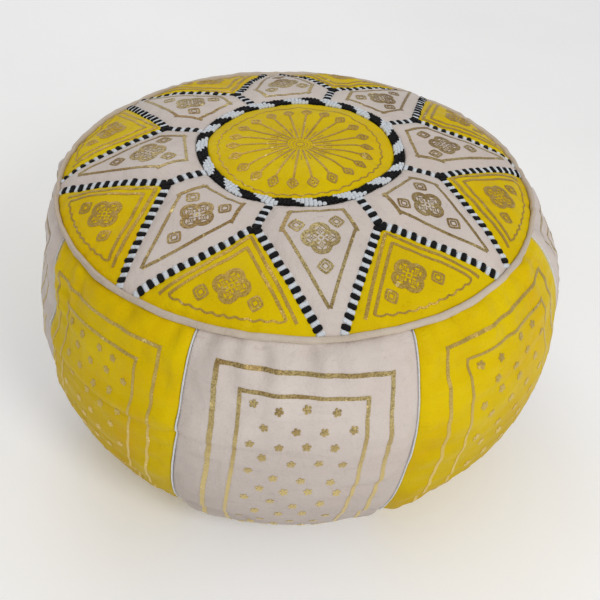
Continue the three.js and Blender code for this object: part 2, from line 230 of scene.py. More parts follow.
def seam_distances(azimuth, t):
    """How far a point is from the nearest lacing, braid, side seam and rim, in millimetres."""
    r = np.interp(t, SKIN_T, SKIN_R)
    across = np.abs(fold(azimuth))
    points = np.stack([r * np.sin(across), -r * np.cos(across)], axis=-1)
    lacing = np.minimum(
        line_distance(points, SHOULDER, TIP),
        line_distance(points, plan(BRAID_OUTER, SECTOR / 2), SHOULDER),
    )
    far = 1000.0
    on_top = t < RIM_T
    side = np.abs(fold(azimuth, SIDE_OFFSET + SECTOR / 2)) * r
    middle = (MEDALLION_RADIUS + BRAID_OUTER) / 2
    return (
        np.where(on_top, lacing, far),
        np.where(on_top, np.abs(r - middle), far),
        np.where(on_top | (t > FOOT_T), far, side),
        np.abs(t - RIM_T),
    )


class SkinMap:
    """Numbers on a grid over the skin, read anywhere between its points."""

    def __init__(self, values, start=0.0):
        self.values, self.start = values, start

    def at(self, azimuth, t):
        rows, columns = self.values.shape
        column = ((azimuth - self.start) / TAU % 1) * columns
        row = np.clip(t / END_T, 0, 1) * (rows - 1)
        j, i = np.floor(column).astype(int) % columns, np.minimum(row.astype(int), rows - 2)
        u, v = column - np.floor(column), row - i
        k = (j + 1) % columns
        upper = self.values[i, j] * (1 - u) + self.values[i, k] * u
        lower = self.values[i + 1, j] * (1 - u) + self.values[i + 1, k] * u
        return upper * (1 - v) + lower * v


RELIEF_ROWS, RELIEF_COLUMNS = 360, 720
SKIN_LENGTHS = (END_T, TAU * GIRTH_RADIUS)
PLAN_CELLS = 160
PLAN_LENGTHS = (2 * GIRTH_RADIUS, 2 * GIRTH_RADIUS)


def smoothed(field, lengths, across, along):
    """A field over a sheet of these lengths, without what is smaller than across and along."""
    down, round_it = [
        np.fft.fftfreq(count, length / count) for count, length in zip(field.shape, lengths)
    ]
    waves = (down[:, None] * along) ** 2 + (round_it * across) ** 2
    keep = np.exp(-2 * (math.pi / 2.5) ** 2 * waves)
    return np.fft.ifft2(np.fft.fft2(field) * keep).real


def mottle(across, along, height=1.0):
    """Random relief over the skin: features of these sizes, and their usual height."""
    field = RNG.standard_normal((RELIEF_ROWS, RELIEF_COLUMNS))
    field = smoothed(field, SKIN_LENGTHS, across, along)
    return (field - field.mean()) / field.std() * height


def plan_mottle(size, height):
    """The same over the top, in plan, so that nothing crowds together at the middle."""
    field = RNG.standard_normal((PLAN_CELLS, PLAN_CELLS))
    field = smoothed(field, PLAN_LENGTHS, size, size)
    return (field - field.mean()) / field.std() * height


# ---- The swelling of the stuffed cover, by cloth simulation ------------------------------

SIM_ROWS, SIM_COLUMNS = 116, 192
SIM_FRAMES = 18
SIM_PRESSURE = 3.2
SIM_SPARE_CLOTH = 0.012
SWELL_LEAST, SWELL_MOST = -3.5, 6.0
SWELL_KEPT = 0.8
PIN_WIDTH = 5.0
LEAST_HOLD = 0.02
SOLE_HOLD = 6


def swelling():
    """How far the cover swells between its seams: the skin is a cloth, held along every seam and
    on the base, with spare cloth between them and pressure inside."""
    start = SIDE_OFFSET + SECTOR / 2
    azimuth, t = np.meshgrid(
        start + np.arange(SIM_COLUMNS) * TAU / SIM_COLUMNS,
        np.linspace(0, END_T, SIM_ROWS)[1:-1],
    )
    r, z = np.interp(t, SKIN_T, SKIN_R), np.interp(t, SKIN_T, SKIN_Z)
    rest = np.stack([r * np.sin(azimuth), -r * np.cos(azimuth), z], axis=-1).reshape(-1, 3)
    rest = np.vstack([rest, [[0, 0, crown_height(0)], [0, 0, 0]]])
    faces = grid_faces(SIM_ROWS - 2, SIM_COLUMNS, wrap=True)
    crown, sole, last = len(rest) - 2, len(rest) - 1, (SIM_ROWS - 3) * SIM_COLUMNS
    for j in range(SIM_COLUMNS):
        k = (j + 1) % SIM_COLUMNS
        faces.append((crown, j, k))
        faces.append((sole, last + k, last + j))
    cloth = new_object("cover_cloth", new_mesh("cover_cloth", rest, faces))

    held = np.exp(-((np.min(seam_distances(azimuth, t), axis=0) / PIN_WIDTH) ** 2))
    held = np.where(t > FOOT_T - SOLE_HOLD, 1, held).ravel()
    group = cloth.vertex_groups.new(name="held")
    for i, weight in enumerate(held):
        if weight > LEAST_HOLD:
            group.add([i], float(weight), "REPLACE")
    group.add([sole], 1.0, "REPLACE")

    settings = cloth.modifiers.new("Cloth", "CLOTH").settings
    settings.quality = 4
    settings.mass = 0.25
    settings.tension_stiffness = settings.compression_stiffness = 30
    settings.shear_stiffness = 15
    settings.bending_stiffness = 1.2
    settings.use_pressure = True
    settings.uniform_pressure_force = SIM_PRESSURE
    settings.shrink_min = -SIM_SPARE_CLOTH
    settings.vertex_group_mass = "held"
    settings.effector_weights.gravity = 0
    scene = bpy.context.scene
    for number in range(1, SIM_FRAMES + 1):
        scene.frame_set(number)
    moved = cloth.evaluated_get(bpy.context.evaluated_depsgraph_get()).data
    places = np.empty(len(rest) * 3, np.float32)
    moved.vertices.foreach_get("co", places)
    shift = (places.reshape(-1, 3) / MM - rest)[:-2].reshape(*azimuth.shape, 3)
    scene.frame_set(1)
    bpy.data.objects.remove(cloth)

    outward = shift[..., 0] * np.sin(azimuth) - shift[..., 1] * np.cos(azimuth)
    normal_r, normal_z = np.interp(t, SKIN_T, NORMAL_R), np.interp(t, SKIN_T, NORMAL_Z)
    swell = outward * normal_r + shift[..., 2] * normal_z
    swell = np.clip(swell - SWELL_KEPT * swell.mean(), SWELL_LEAST, SWELL_MOST)
    crown_row = np.full((1, SIM_COLUMNS), swell[0].mean())
    return SkinMap(np.vstack([crown_row, swell, np.zeros((1, SIM_COLUMNS))]), start)


def grid_faces(rows, columns, wrap=False):
    """Faces of a grid listed down its rows, outward where columns run anticlockwise."""
    faces = []
    for i in range(rows - 1):
        for j in range(columns if wrap else columns - 1):
            a, b = i * columns + j, i * columns + (j + 1) % columns
            faces.append((a, a + columns, b + columns, b))
    return faces


# ---- Relief of the leather ---------------------------------------------------------------


def bump_line(distance, depth, width):
    """A groove along a line, by the distance from it."""
    return -depth * np.exp(-((distance / width) ** 2))


def make_relief():
    azimuth, t = np.meshgrid(
        np.arange(RELIEF_COLUMNS) * TAU / RELIEF_COLUMNS,
        np.linspace(0, END_T, RELIEF_ROWS),
    )
    r = np.interp(t, SKIN_T, SKIN_R)
    z = np.interp(t, SKIN_T, SKIN_Z)
    on_top, on_side = t < RIM_T, (t >= RIM_T) & (t <= FOOT_T)
    distances = seam_distances(azimuth, t)
    seam, rim = distances[2:]
    under_rim = t - RIM_T
    to_foot = FOOT_T - t

    relief = swelling().at(azimuth, t)
    relief += sum(bump_line(far, *size) for far, size in zip(distances, SEAM_GROOVES))

    # The top: soft dents between the seams.
    grid = (np.stack([r * np.sin(azimuth), -r * np.cos(azimuth)]) / GIRTH_RADIUS + 1) / 2
    cells = np.clip((grid * PLAN_CELLS).astype(int), 0, PLAN_CELLS - 1)
    dents = sum(plan_mottle(size, height) for size, height in TOP_DENTS)
    relief += np.where(on_top, dents[cells[1], cells[0]] * smooth_step(0, 30, rim), 0)

    # The side: wide dents, gathers below the rim, cross wrinkles lower down, a crease at the waist.
    calm = smooth_step(0, 25, under_rim) * smooth_step(0, 60, to_foot)
    gather = np.exp(-under_rim / GATHER_REACH) * smooth_step(0, 10, under_rim)
    away = smooth_step(3, 16, seam)
    near_seam = np.exp(-seam / SEAM_WRINKLE_REACH) * away
    for sizes, share in (
        (WIDE_DENTS, calm),
        (GATHERS, gather),
        (CROSS_WRINKLES, calm * away),
        (SEAM_WRINKLES, near_seam * calm),
    ):
        relief += np.where(on_side, mottle(*sizes) * share, 0)
    waist = z - WAIST_HEIGHT - WAIST_WANDER * np.sin(azimuth * 2 + 1.6)
    front = np.exp(-((half_turn(azimuth - WAIST_FOLD_AT) / WAIST_FOLD_WIDTH) ** 2))
    folded = np.maximum(smooth_step(-0.4, 1.2, mottle(*WAIST_PATCHES)), front)
    ridge = bump_line(waist, *WAIST_RIDGE)
    groove = bump_line(waist + WAIST_GROOVE_DROP, *WAIST_GROOVE)
    relief += np.where(on_side, (groove - ridge) * folded, 0)
    relief -= np.where(on_side, smoothed(relief, SKIN_LENGTHS, WIDE, WIDE), 0)

    for centre, height, round_it, upright, push in SETTLED:
        away = half_turn(azimuth - math.radians(centre)) / math.radians(round_it)
        relief += on_side * push * np.exp(-(away**2) - ((z - height) / upright) ** 2)

    relief *= smooth_step(-4, 26, to_foot)
    return SkinMap(relief)


# ---- From the skin to space --------------------------------------------------------------

RELIEF = None


def drag(azimuth, below):
    """How far round the side of the cover has been dragged, in radians."""
    degrees = np.degrees(half_turn(azimuth))
    rows = [np.interp(degrees, DRAG_AT, row) for row in DRAG_ROWS]
    pulled = rows[0]
    for k in range(len(DRAG_DEPTHS) - 1):
        start, end = DRAG_DEPTHS[k], DRAG_DEPTHS[k + 1]
        pulled = pulled + (rows[k + 1] - rows[k]) * np.clip((below - start) / (end - start), 0, 1)
    return np.radians(pulled) + TWIST_TOP - TWIST_PER_MM * below


def on_skin(azimuth, t, height=0.0, ease=12.0):
    """Points in millimetres at a height over the leather. The side's drag round comes on gently
    over the first stretch below the rim."""
    azimuth, t, height = np.broadcast_arrays(azimuth, t, height)
    rise = RELIEF.at(azimuth, t) + height
    radius, z = np.interp(t, SKIN_T, SKIN_R), np.interp(t, SKIN_T, SKIN_Z)
    below = np.where(t > RIM_T, RIM_HEIGHT - z, 0)
    turned = azimuth + drag(azimuth, below) * smooth_step(0, ease, below)
    r = radius + np.interp(t, SKIN_T, NORMAL_R) * rise
    z = z + np.interp(t, SKIN_T, NORMAL_Z) * rise
    lean = SIDE_PUSH * smooth_step(0, SIDE_PUSH_DEPTH, below) * smooth_step(-5, 60, FOOT_T - t)
    x, y = r * np.sin(turned), -r * np.cos(turned)
    middle = np.where(t < RIM_T, 1 - smooth_step(BRAID_OUTER - 8, CROWN_PUSH_END, radius), 0)
    off_seam = np.hypot(x + SHOULDER[0], y - SHOULDER[1]) / FRONT_PULL_REACH
    pulled = np.where(t < RIM_T, np.exp(-(off_seam**2)), 0)
    x = x + lean + CROWN_PUSH[0] * middle + FRONT_PULL[0] * pulled
    y = y + CROWN_PUSH[1] * middle + FRONT_PULL[1] * pulled
    return np.stack([x, y, z], axis=-1)


def on_top(points, height=0.0, turn=0.0):
    """The same from plan points of a piece whose axis is -Y, turned to its azimuth."""
    azimuth = np.arctan2(points[..., 0], -points[..., 1]) + turn
    t = np.interp(np.linalg.norm(points, axis=-1), SKIN_R[SKIN_T <= RIM_T], SKIN_T[SKIN_T <= RIM_T])
    return on_skin(azimuth, t, height)


def on_side(points, height=0.0, turn=0.0):
    """The same from points of a side panel: millimetres across at the girth, and down the skin."""
    return on_skin(points[..., 0] / GIRTH_RADIUS + turn, points[..., 1], height, 1.0)


# ---- Meshes ------------------------------------------------------------------------------

ARC_STEP = 1.5


def new_mesh(name, points, faces):
    """A mesh from points in millimetres."""
    mesh = bpy.data.meshes.new(name)
    mesh.from_pydata((np.asarray(points) * MM).tolist(), [], faces)
    return mesh


def new_object(name, data):
    made = bpy.data.objects.new(name, data)
    bpy.context.scene.collection.objects.link(made)
    return made


class Body:
    """Points and faces gathered into one piece."""

    def __init__(self):
        self.points, self.faces, self.count = [], [], 0

    def add(self, points, faces):
        points = np.asarray(points, float).reshape(-1, 3)
        self.points.append(points)
        self.faces += [tuple(i + self.count for i in face) for face in faces]
        self.count += len(points)

    def piece(self, name, material, slot, *replaces):
        """The piece itself, none of it below the floor, standing for the CAD nodes named last."""
        points = np.vstack(self.points)
        points[:, 2] = np.maximum(points[:, 2], 0)
        mesh = new_mesh(name, points, self.faces)
        if slot == "gold_foil":
            mesh.shade_flat()
        else:
            mesh.shade_smooth()
        mesh.materials.append(material)
        made = new_object(name, mesh)
        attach(made, "root")
        if replaces:
            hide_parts(*replaces)
        return made


def turned_over(faces):
    return [tuple(reversed(face)) for face in faces]


def tube_faces(rings, sides, loop=False):
    """A closed tube: rings of points, with caps at its ends or its last ring joined to its first."""
    faces = []
    for i in range(rings if loop else rings - 1):
        for j in range(sides):
            a, b = i * sides + j, i * sides + (j + 1) % sides
            c, d = (a + sides) % (rings * sides), (b + sides) % (rings * sides)
            faces.append((a, b, d, c))
    if not loop:
        faces.append(tuple(reversed(range(sides))))
        faces.append(tuple(range((rings - 1) * sides, rings * sides)))
    return faces


def slab_faces(top_faces, edge, count):
    """Faces of a sheet with a thickness: a top, the same points again as its underside, a rim."""
    under = [tuple(i + count for i in reversed(face)) for face in top_faces]
    rim = [
        (edge[(k + 1) % len(edge)], edge[k], edge[k] + count, edge[(k + 1) % len(edge)] + count)
        for k in range(len(edge))
    ]
    return list(top_faces) + under + rim


def resample(points, step, closed=False):
    """Points along a polyline with its corners kept and none further apart than step."""
    points = [np.asarray(p, float) for p in points]
    ends = points[1:] + points[:1] if closed else points[1:]
    found = []
    for a, b in zip(points, ends):
        count = max(1, math.ceil(np.linalg.norm(b - a) / step))
        found += [a + (b - a) * i / count for i in range(count)]
    return np.array(found if closed else found + [points[-1]])


def arc(centre, radius, start, end):
    count = max(4, math.ceil(abs(end - start) * radius / ARC_STEP))
    angles = np.linspace(start, end, count + 1)
    return np.array(centre) + radius * np.stack([np.cos(angles), np.sin(angles)], axis=-1)


def inset(corners, distance):
    """A polygon, listed anticlockwise, with every side moved inwards."""
    moved = []
    for i, corner in enumerate(corners):
        before, after = corners[i - 1], corners[(i + 1) % len(corners)]
        a = (corner - before) / np.linalg.norm(corner - before)
        b = (after - corner) / np.linalg.norm(after - corner)
        turn = a + b
        scale = distance / (1 + a @ b)
        moved.append(corner + np.array([-turn[1], turn[0]]) * scale)
    return moved


def circle_hit(start, end, radius):
    """Where the line from start through end leaves a circle round the middle of the crown."""
    run = (end - start) / np.linalg.norm(end - start)
    along = start @ run
    return start + run * (-along + math.sqrt(along**2 - start @ start + radius**2))


# ---- Leather panels of the top -----------------------------------------------------------

PANEL_STEP = 3.0
EDGE_ROWS = (0.6, 1.4)
MEDALLION_GRID = (40, 120)
MEDALLION_CROWDING = 0.9


def kite_outline():
    run = TIP - SHOULDER
    meeting = SHOULDER - run * SHOULDER[0] / run[0]
    corners = [np.zeros(2), SHOULDER * MIRROR, meeting, SHOULDER]
    hub, _, tip, right = inset(corners, SEAM_GAP / 2)
    inner = circle_hit(hub, right, BRAID_OUTER + SEAM_GAP)
    outer = circle_hit(right, tip, TOP_EDGE_RADIUS)
    return close_with_arcs([inner, right, outer], inner, outer)


def close_with_arcs(half, inner, outer):
    """A panel's outline from its right half: the rim arc, the mirrored left half, the inner arc."""
    points = list(resample(half, PANEL_STEP)[:-1])
    turn = math.atan2(outer[0], -outer[1])
    count = max(2, round(2 * turn * TOP_EDGE_RADIUS / PANEL_STEP))
    points += [plan(TOP_EDGE_RADIUS, turn - 2 * turn * i / count) for i in range(count)]
    points += [p * MIRROR for p in reversed(resample(half, PANEL_STEP)[1:])]
    if inner is not None:
        turn = math.atan2(inner[0], -inner[1])
        count = round(2 * turn * BRAID_OUTER / PANEL_STEP)
        radius = BRAID_OUTER + SEAM_GAP
        points += [plan(radius, 2 * turn * i / count - turn) for i in range(count)]
    return np.array(points[::-1])


def triangle_outline():
    apex = plan(SHOULDER_RADIUS, 0)
    right = plan(RIM_RADIUS, SECTOR / 2 - math.asin(TIP_HALF_WIDTH / RIM_RADIUS))
    run = (right - apex) * 2
    apex, _, right = inset([apex, apex - run * [1, -1], apex + run], SEAM_GAP / 2)
    outer = circle_hit(apex, right, TOP_EDGE_RADIUS)
    return close_with_arcs([apex, outer], None, outer)


def hex_points(outline, step):
    """Points in even triangles inside an outline, kept most of a step away from its edge."""
    low, high = outline.min(0), outline.max(0)
    rows = np.arange(low[1], high[1], step * math.sqrt(0.75))
    points = np.array(
        [
            (x, y)
            for i, y in enumerate(rows)
            for x in np.arange(low[0] + (i % 2) * step / 2, high[0], step)
        ]
    )
    edge = edge_distance(points, outline)
    after = np.roll(outline, -1, axis=0)
    dx, dy = (after - outline).T
    inside = np.zeros(len(points), bool)
    for k, (x, y) in enumerate(outline):
        spans = (points[:, 1] < y) != (points[:, 1] < after[k, 1])
        if abs(dy[k]) > 1e-9:
            inside ^= spans & (points[:, 0] < x + (points[:, 1] - y) * dx[k] / dy[k])
    return points[inside & (edge > 0.8 * step)]


def edge_distance(points, outline):
    after = np.roll(outline, -1, axis=0)
    lines = [line_distance(points, a, b) for a, b in zip(outline, after)]
    return np.min(lines, axis=0)


def rounded_edge(distance):
    """How far the leather turns down towards its cut edge."""
    return -EDGE_DROP * (1 - np.clip(distance / EDGE_ROUND, 0, 1)) ** 2


def flat_mesh(outline, step=PANEL_STEP):
    """Plan points, triangles and edge loop of a panel, with finer rows beside its edge."""
    count = len(outline)
    rows = [outline]
    before, after = np.roll(outline, 1, axis=0), np.roll(outline, -1, axis=0)
    tangent = after - before
    tangent /= np.linalg.norm(tangent, axis=1)[:, None]
    inward = np.stack([-tangent[:, 1], tangent[:, 0]], axis=-1)
    for distance in EDGE_ROWS:
        row = outline + inward * distance
        rows.append(row[edge_distance(row, outline) > 0.7 * distance])
    points = np.vstack(rows + [hex_points(outline, step)])
    edges = [(i, (i + 1) % count) for i in range(count)]
    found, _, faces, *_ = delaunay_2d_cdt(
        [Vector(p) for p in points], edges, [], 1, 1e-5
    )
    return np.array(found), [tuple(f) for f in faces], list(range(count))


def top_panel(kind, number, outline, turn, material, slot):
    points, faces, edge = flat_mesh(outline)
    drop = rounded_edge(edge_distance(points, outline))
    body = Body()
    upper = on_top(points, drop, turn)
    lower = on_top(points, -LEATHER, turn)
    body.add(np.vstack([upper, lower]), slab_faces(faces, edge, len(points)))
    body.piece(f"leather_{kind}_{number}", material, slot, f"top_{kind}_{number}")


def make_medallion(material):
    rings, columns = MEDALLION_GRID
    body = Body()
    edge = BRAID_INNER - 0.2
    r = edge * (np.arange(1, rings + 1) / rings) ** MEDALLION_CROWDING
    angle = np.arange(columns) * TAU / columns
    points = np.array([[plan(radius, a) for a in angle] for radius in r]).reshape(-1, 2)
    points = np.vstack([points, [[0, -1e-6]]])
    hub = len(points) - 1
    faces = grid_faces(rings, columns, wrap=True)
    faces += [(hub, j, (j + 1) % columns) for j in range(columns)]
    drop = rounded_edge(edge - np.linalg.norm(points, axis=1))
    loop = [(rings - 1) * columns + j for j in range(columns)]
    body.add(
        np.vstack([on_top(points, drop), on_top(points, -LEATHER)]),
        slab_faces(faces, loop, len(points)),
    )
    body.piece("leather_medallion", material, "leather_yellow", "top_medallion")


# ---- Thread: lacing and braid ------------------------------------------------------------

BAR_STATIONS = np.array([-1.0, -0.93, -0.74, -0.4, 0.0, 0.4, 0.74, 0.93, 1.0])
BAR_WIDTHS = np.array([0.45, 0.74, 0.93, 1.0, 1.0, 1.0, 0.93, 0.74, 0.45])
BAR_CRESTS = np.array([-0.1, 0.4, 0.8, 0.96, 1.0, 0.96, 0.8, 0.4, -0.1])
BAR_SIDES = 10
BAR_ROOT = -0.9
BAR_SQUARENESS = 0.7
STITCH_JITTER = 0.35
STITCH_TILT = 0.22
WHITE_SIZE = (0.9, 0.98, 0.72)
BLACK_SIZE = (1.0, 1.04, 1.0)
KNOT_SIZE = (8.5, 4.6, STITCH_HEIGHT + 0.5)


def add_bar(body, centre, direction, length, width, height, turn=0.0):
    """A plump strand lying on the top along a direction."""
    angle = np.arange(BAR_SIDES) * TAU / BAR_SIDES
    along = (BAR_STATIONS[:, None] * np.ones(BAR_SIDES))[..., None]
    across = (BAR_WIDTHS[:, None] * np.cos(angle))[..., None]
    squarish = np.sign(np.sin(angle)) * np.abs(np.sin(angle)) ** BAR_SQUARENESS
    side = np.array([-direction[1], direction[0]])
    points = centre + along * direction * length / 2 + across * side * width / 2
    crest = BAR_CRESTS[:, None] * height
    rise = BAR_ROOT + (crest - BAR_ROOT) * (squarish + 1) / 2
    body.add(on_top(points, rise, turn), tube_faces(len(BAR_STATIONS), BAR_SIDES))


def stitch_line(start, end, first_black, black, white, turn):
    """Whip stitches square to a seam, black and white in turn."""
    run = end - start
    length = np.linalg.norm(run)
    run = run / length
    across = np.array([-run[1], run[0]])
    count = round(length / STITCH_PITCH)
    for i in range(count):
        is_black = (i % 2 == 0) == first_black
        long, wide, high = BLACK_SIZE if is_black else WHITE_SIZE
        jitter = RNG.uniform(-STITCH_JITTER, STITCH_JITTER, 3)
        centre = start + run * (i + 0.5) * length / count + across * jitter[0]
        direction = across + run * jitter[1] * STITCH_TILT
        add_bar(
            black if is_black else white,
            centre + run * jitter[2] * 0.5,
            direction / np.linalg.norm(direction),
            STITCH_LENGTH * long + jitter[1],
            STITCH_PITCH * wide,
            STITCH_HEIGHT * high + jitter[2] * 0.4,
            turn,
        )


def make_lacing(black_thread, white_thread):
    """Each run is Y-shaped: one leg from the braid to a triangle's apex, then down both its sides."""
    apex = plan(SHOULDER_RADIUS, 0)
    tip = plan(LACING_END_RADIUS, SECTOR / 2 - math.asin(TIP_HALF_WIDTH / RIM_RADIUS))
    root = plan(BRAID_OUTER + 0.5, 0)
    run = (tip - apex) / np.linalg.norm(tip - apex)
    for i in range(PIECES):
        black, white = Body(), Body()
        turn = (i + 0.5) * SECTOR
        for side in BOTH_SIDES:
            stitch_line((apex + run * 2.2) * side, (tip + run) * side, True, black, white, turn)
        stitch_line(root, apex - [0, -0.5], False, black, white, turn)
        add_bar(black, apex + [0, -0.6], np.array([0, -1]), *KNOT_SIZE, turn)
        black.piece(f"stitches_black_{i + 1}", black_thread, "thread_black", f"lacing_{i + 1}")
        white.piece(f"stitches_white_{i + 1}", white_thread, "thread_white", f"lacing_{i + 1}")


def make_braid(black_thread, white_thread):
    """Short strands laid out from the medallion, changing colour along slanting stripes."""
    black, white = Body(), Body()
    period = TAU / BRAID_PAIRS
    last = BRAID_STEPS - 1
    steps = np.linspace(BRAID_INNER, BRAID_OUTER - 0.3, BRAID_STEPS)
    for row in range(BRAID_ROWS):
        azimuth = row * TAU / BRAID_ROWS
        ends = RNG.uniform(-0.5, 0.5, 2)
        lift = RNG.uniform(-0.3, 0.3)
        phase = (azimuth - BRAID_SLANT * (steps - BRAID_INNER) + BRAID_START) % period
        dark = phase < period / 2
        cuts = [0] + [k for k in range(1, BRAID_STEPS) if dark[k] != dark[k - 1]] + [last]
        for a, b in zip(cuts, cuts[1:]):
            inner = steps[a] + (ends[0] if a == 0 else -0.5)
            outer = steps[b] + (ends[1] if b == last else 0.5)
            if outer - inner < STRAND_LEAST:
                continue
            middle = (inner + outer) / 2
            strands = max(1, round((outer - inner) / STRAND_LENGTH))
            for k in range(strands):
                centre = inner + (outer - inner) * (k + 0.5) / strands
                add_bar(
                    black if dark[a] else white,
                    plan(centre, azimuth),
                    plan(1, azimuth + RNG.uniform(-0.12, 0.12)),
                    (outer - inner) / strands + STRAND_OVERLAP,
                    middle * TAU / BRAID_ROWS * STRAND_SPREAD,
                    BRAID_HEIGHT + lift,
                )
    black.piece("braid_black", black_thread, "thread_black", "medallion_braid")
    white.piece("braid_white", white_thread, "thread_white", "medallion_braid")


# ---- Side panels, welts and piping -------------------------------------------------------

SIDE_COLUMNS, SIDE_ROWS = 64, 112
WELT_HALF = 0.6
WELT_HEIGHT = 1.4
SIDE_EDGE_DROP = 0.5
WELT_CLEARANCE = 0.04
COLUMN_CROWDING = 1.15
ROW_CROWDING = 0.24 / TAU
WELT_ROWS = 130
PIPING_GRID = (480, 14)
PIPING_WAVES = (9, 14, 23, 37)
TIP_PINCH = 12


def make_side_panels(natural, yellow):
    half = SECTOR / 2 * GIRTH_RADIUS
    shares = np.linspace(-1, 1, SIDE_COLUMNS)
    spread = np.sign(shares) * (1 - (1 - np.abs(shares)) ** COLUMN_CROWDING)
    across = (half - WELT_HALF - WELT_CLEARANCE) * spread
    top, foot = RIM_T + 1.2, FOOT_T - 0.6
    shares = np.linspace(0, 1, SIDE_ROWS)
    down = top + (foot - top) * (shares - ROW_CROWDING * np.sin(TAU * shares))
    grid = np.stack(np.meshgrid(across, down), axis=-1).reshape(-1, 2)
    faces = grid_faces(SIDE_ROWS, SIDE_COLUMNS)
    last = (SIDE_ROWS - 1) * SIDE_COLUMNS
    loop = (
        [i * SIDE_COLUMNS for i in range(SIDE_ROWS)]
        + [last + j for j in range(1, SIDE_COLUMNS)]
        + [i * SIDE_COLUMNS + SIDE_COLUMNS - 1 for i in range(SIDE_ROWS - 2, -1, -1)]
        + [j for j in range(SIDE_COLUMNS - 2, 0, -1)]
    )
    edge = np.minimum(across.max() - np.abs(grid[:, 0]), grid[:, 1] - top)
    drop = rounded_edge(edge) * SIDE_EDGE_DROP
    for i in range(PIECES):
        turn = SIDE_OFFSET + i * SECTOR
        body = Body()
        body.add(
            np.vstack([on_side(grid, drop, turn), on_side(grid, -LEATHER, turn)]),
            slab_faces(faces, loop, len(grid)),
        )
        material, slot = (natural, "leather_natural") if i % 2 == 0 else (yellow, "leather_yellow")
        body.piece(f"leather_side_{i + 1}", material, slot, f"side_panel_{i + 1}")


def make_welts(material):
    """The raw white edge of the seam allowance, standing in each side seam."""
    t = np.linspace(RIM_T + 3.5, FOOT_T - 1, WELT_ROWS)
    ring = np.array([(-1, -1), (1, -1), (1, 0.55), (0.55, 1), (-0.55, 1), (-1, 0.55)])
    for i in range(PIECES):
        wander = np.interp(t, t[::9], RNG.uniform(-0.35, 0.35, len(t[::9])))
        height = WELT_HEIGHT + np.interp(t, t[::5], RNG.uniform(-0.6, 0.35, len(t[::5])))
        turn = SIDE_OFFSET + (i + 0.5) * SECTOR
        body = Body()
        across = ring[:, 0] * WELT_HALF + wander[:, None]
        points = np.stack([across, np.broadcast_to(t[:, None], across.shape)], axis=-1)
        heights = np.where(ring[:, 1] < 0, LEATHER, height[:, None]) * ring[:, 1]
        body.add(on_side(points, heights, turn), tube_faces(WELT_ROWS, len(ring)))
        body.piece(f"welt_edge_{i + 1}", material, "leather_edge", f"side_welt_{i + 1}")


def make_piping(material):
    """A leather-covered cord sewn between top and side, slightly wavy, pulled in at each kite tip."""
    rings, sides = PIPING_GRID
    azimuth = np.arange(rings) * TAU / rings
    near_tip = np.exp(-((fold(azimuth) * RIM_RADIUS / TIP_PINCH) ** 2))
    waves = sum(
        RNG.uniform(0.15, 0.5) * np.sin(azimuth * n + RNG.uniform(0, TAU)) for n in PIPING_WAVES
    )
    thick = PIPING_RADIUS * (1 - 0.07 * near_tip) + 0.12 * waves
    angle = np.arange(sides) * TAU / sides
    body = Body()
    t = RIM_T + 0.6 * waves[:, None] + thick[:, None] * np.cos(angle)
    height = 1.5 + 0.25 * waves[:, None] - 0.7 * near_tip[:, None] + thick[:, None] * np.sin(angle)
    faces = turned_over(tube_faces(rings, sides, loop=True))
    body.add(on_skin(azimuth[:, None], t, height), faces)
    body.piece("piping_cord", material, "leather_piping", "rim_piping")


# ---- Gold foil ---------------------------------------------------------------------------


def add_stroke(body, surface, points, width, turn, closed=False, step=2.2):
    """A flat line of foil along a path drawn in a panel's own plane."""
    path = resample(points, step, closed)
    if closed:
        tangent = np.roll(path, -1, axis=0) - np.roll(path, 1, axis=0)
    else:
        tangent = np.gradient(path, axis=0)
    tangent /= np.maximum(np.linalg.norm(tangent, axis=1), 1e-9)[:, None]
    side = np.stack([-tangent[:, 1], tangent[:, 0]], axis=-1)
    half = width / 2 * (1 + RNG.uniform(-0.1, 0.1, (len(path), 1)))
    left, right = path - side * half, path + side * half
    heights = np.array([FOIL_RISE, FOIL_RISE, -FOIL_ROOT, -FOIL_ROOT])
    points = surface(np.stack([left, right, right, left], 1), heights, turn)
    faces = tube_faces(len(path), 4, closed)
    body.add(points, faces if surface is on_side else turned_over(faces))


def add_patch(body, surface, outline, turn, rise=FOIL_RISE):
    """A filled spot of foil, its outline listed anticlockwise."""
    count = len(outline)
    points = np.vstack([surface(outline, rise, turn), surface(outline, -FOIL_ROOT, turn)])
    faces = slab_faces([tuple(range(count))], list(range(count)), count)
    body.add(points, turned_over(faces) if surface is on_side else faces)


def round_points(centre, distances, count):
    """Points round a centre, their distances from it taken in turn from the ones given."""
    angle = np.arange(count) * TAU / count
    way = np.stack([np.cos(angle), np.sin(angle)], axis=-1)
    return np.array(centre) + np.resize(distances, count)[:, None] * way


# A double diamond's two outlines, as share of its size and width of line; and a rosette's rings in
# each lobe, as share of the lobe, width of line and half the sweep, its star and its spot.
DIAMOND_LINES = ((1, 1.9), (0.5, 1.2))
DIAMOND_BOW = 0.12
ROSETTE_RINGS = ((0.97, 2.7, 2.2), (0.66, 1.0, 2.85))
ROSETTE_STAR = np.array([0.56, 0.22])
ROSETTE_SPOT = 0.75


def diamond(centre, half_long, half_wide):
    """A diamond with bowed sides; its long axis runs along the panel."""
    corners = [(0, -half_long), (half_wide, 0), (0, half_long), (-half_wide, 0)]
    points = []
    for a, b in zip(corners, corners[1:] + corners[:1]):
        for share in (0, 0.33, 0.67):
            p = np.array(a) * (1 - share) + np.array(b) * share
            points.append(p * (1 + DIAMOND_BOW * math.sin(math.pi * share)))
    return np.array(centre) + points


def add_double_diamond(body, surface, centre, size, turn):
    for scale, width in DIAMOND_LINES:
        outline = diamond(centre, size * scale, size * 0.94 * scale)
        add_stroke(body, surface, outline, width, turn, closed=True, step=1.6)


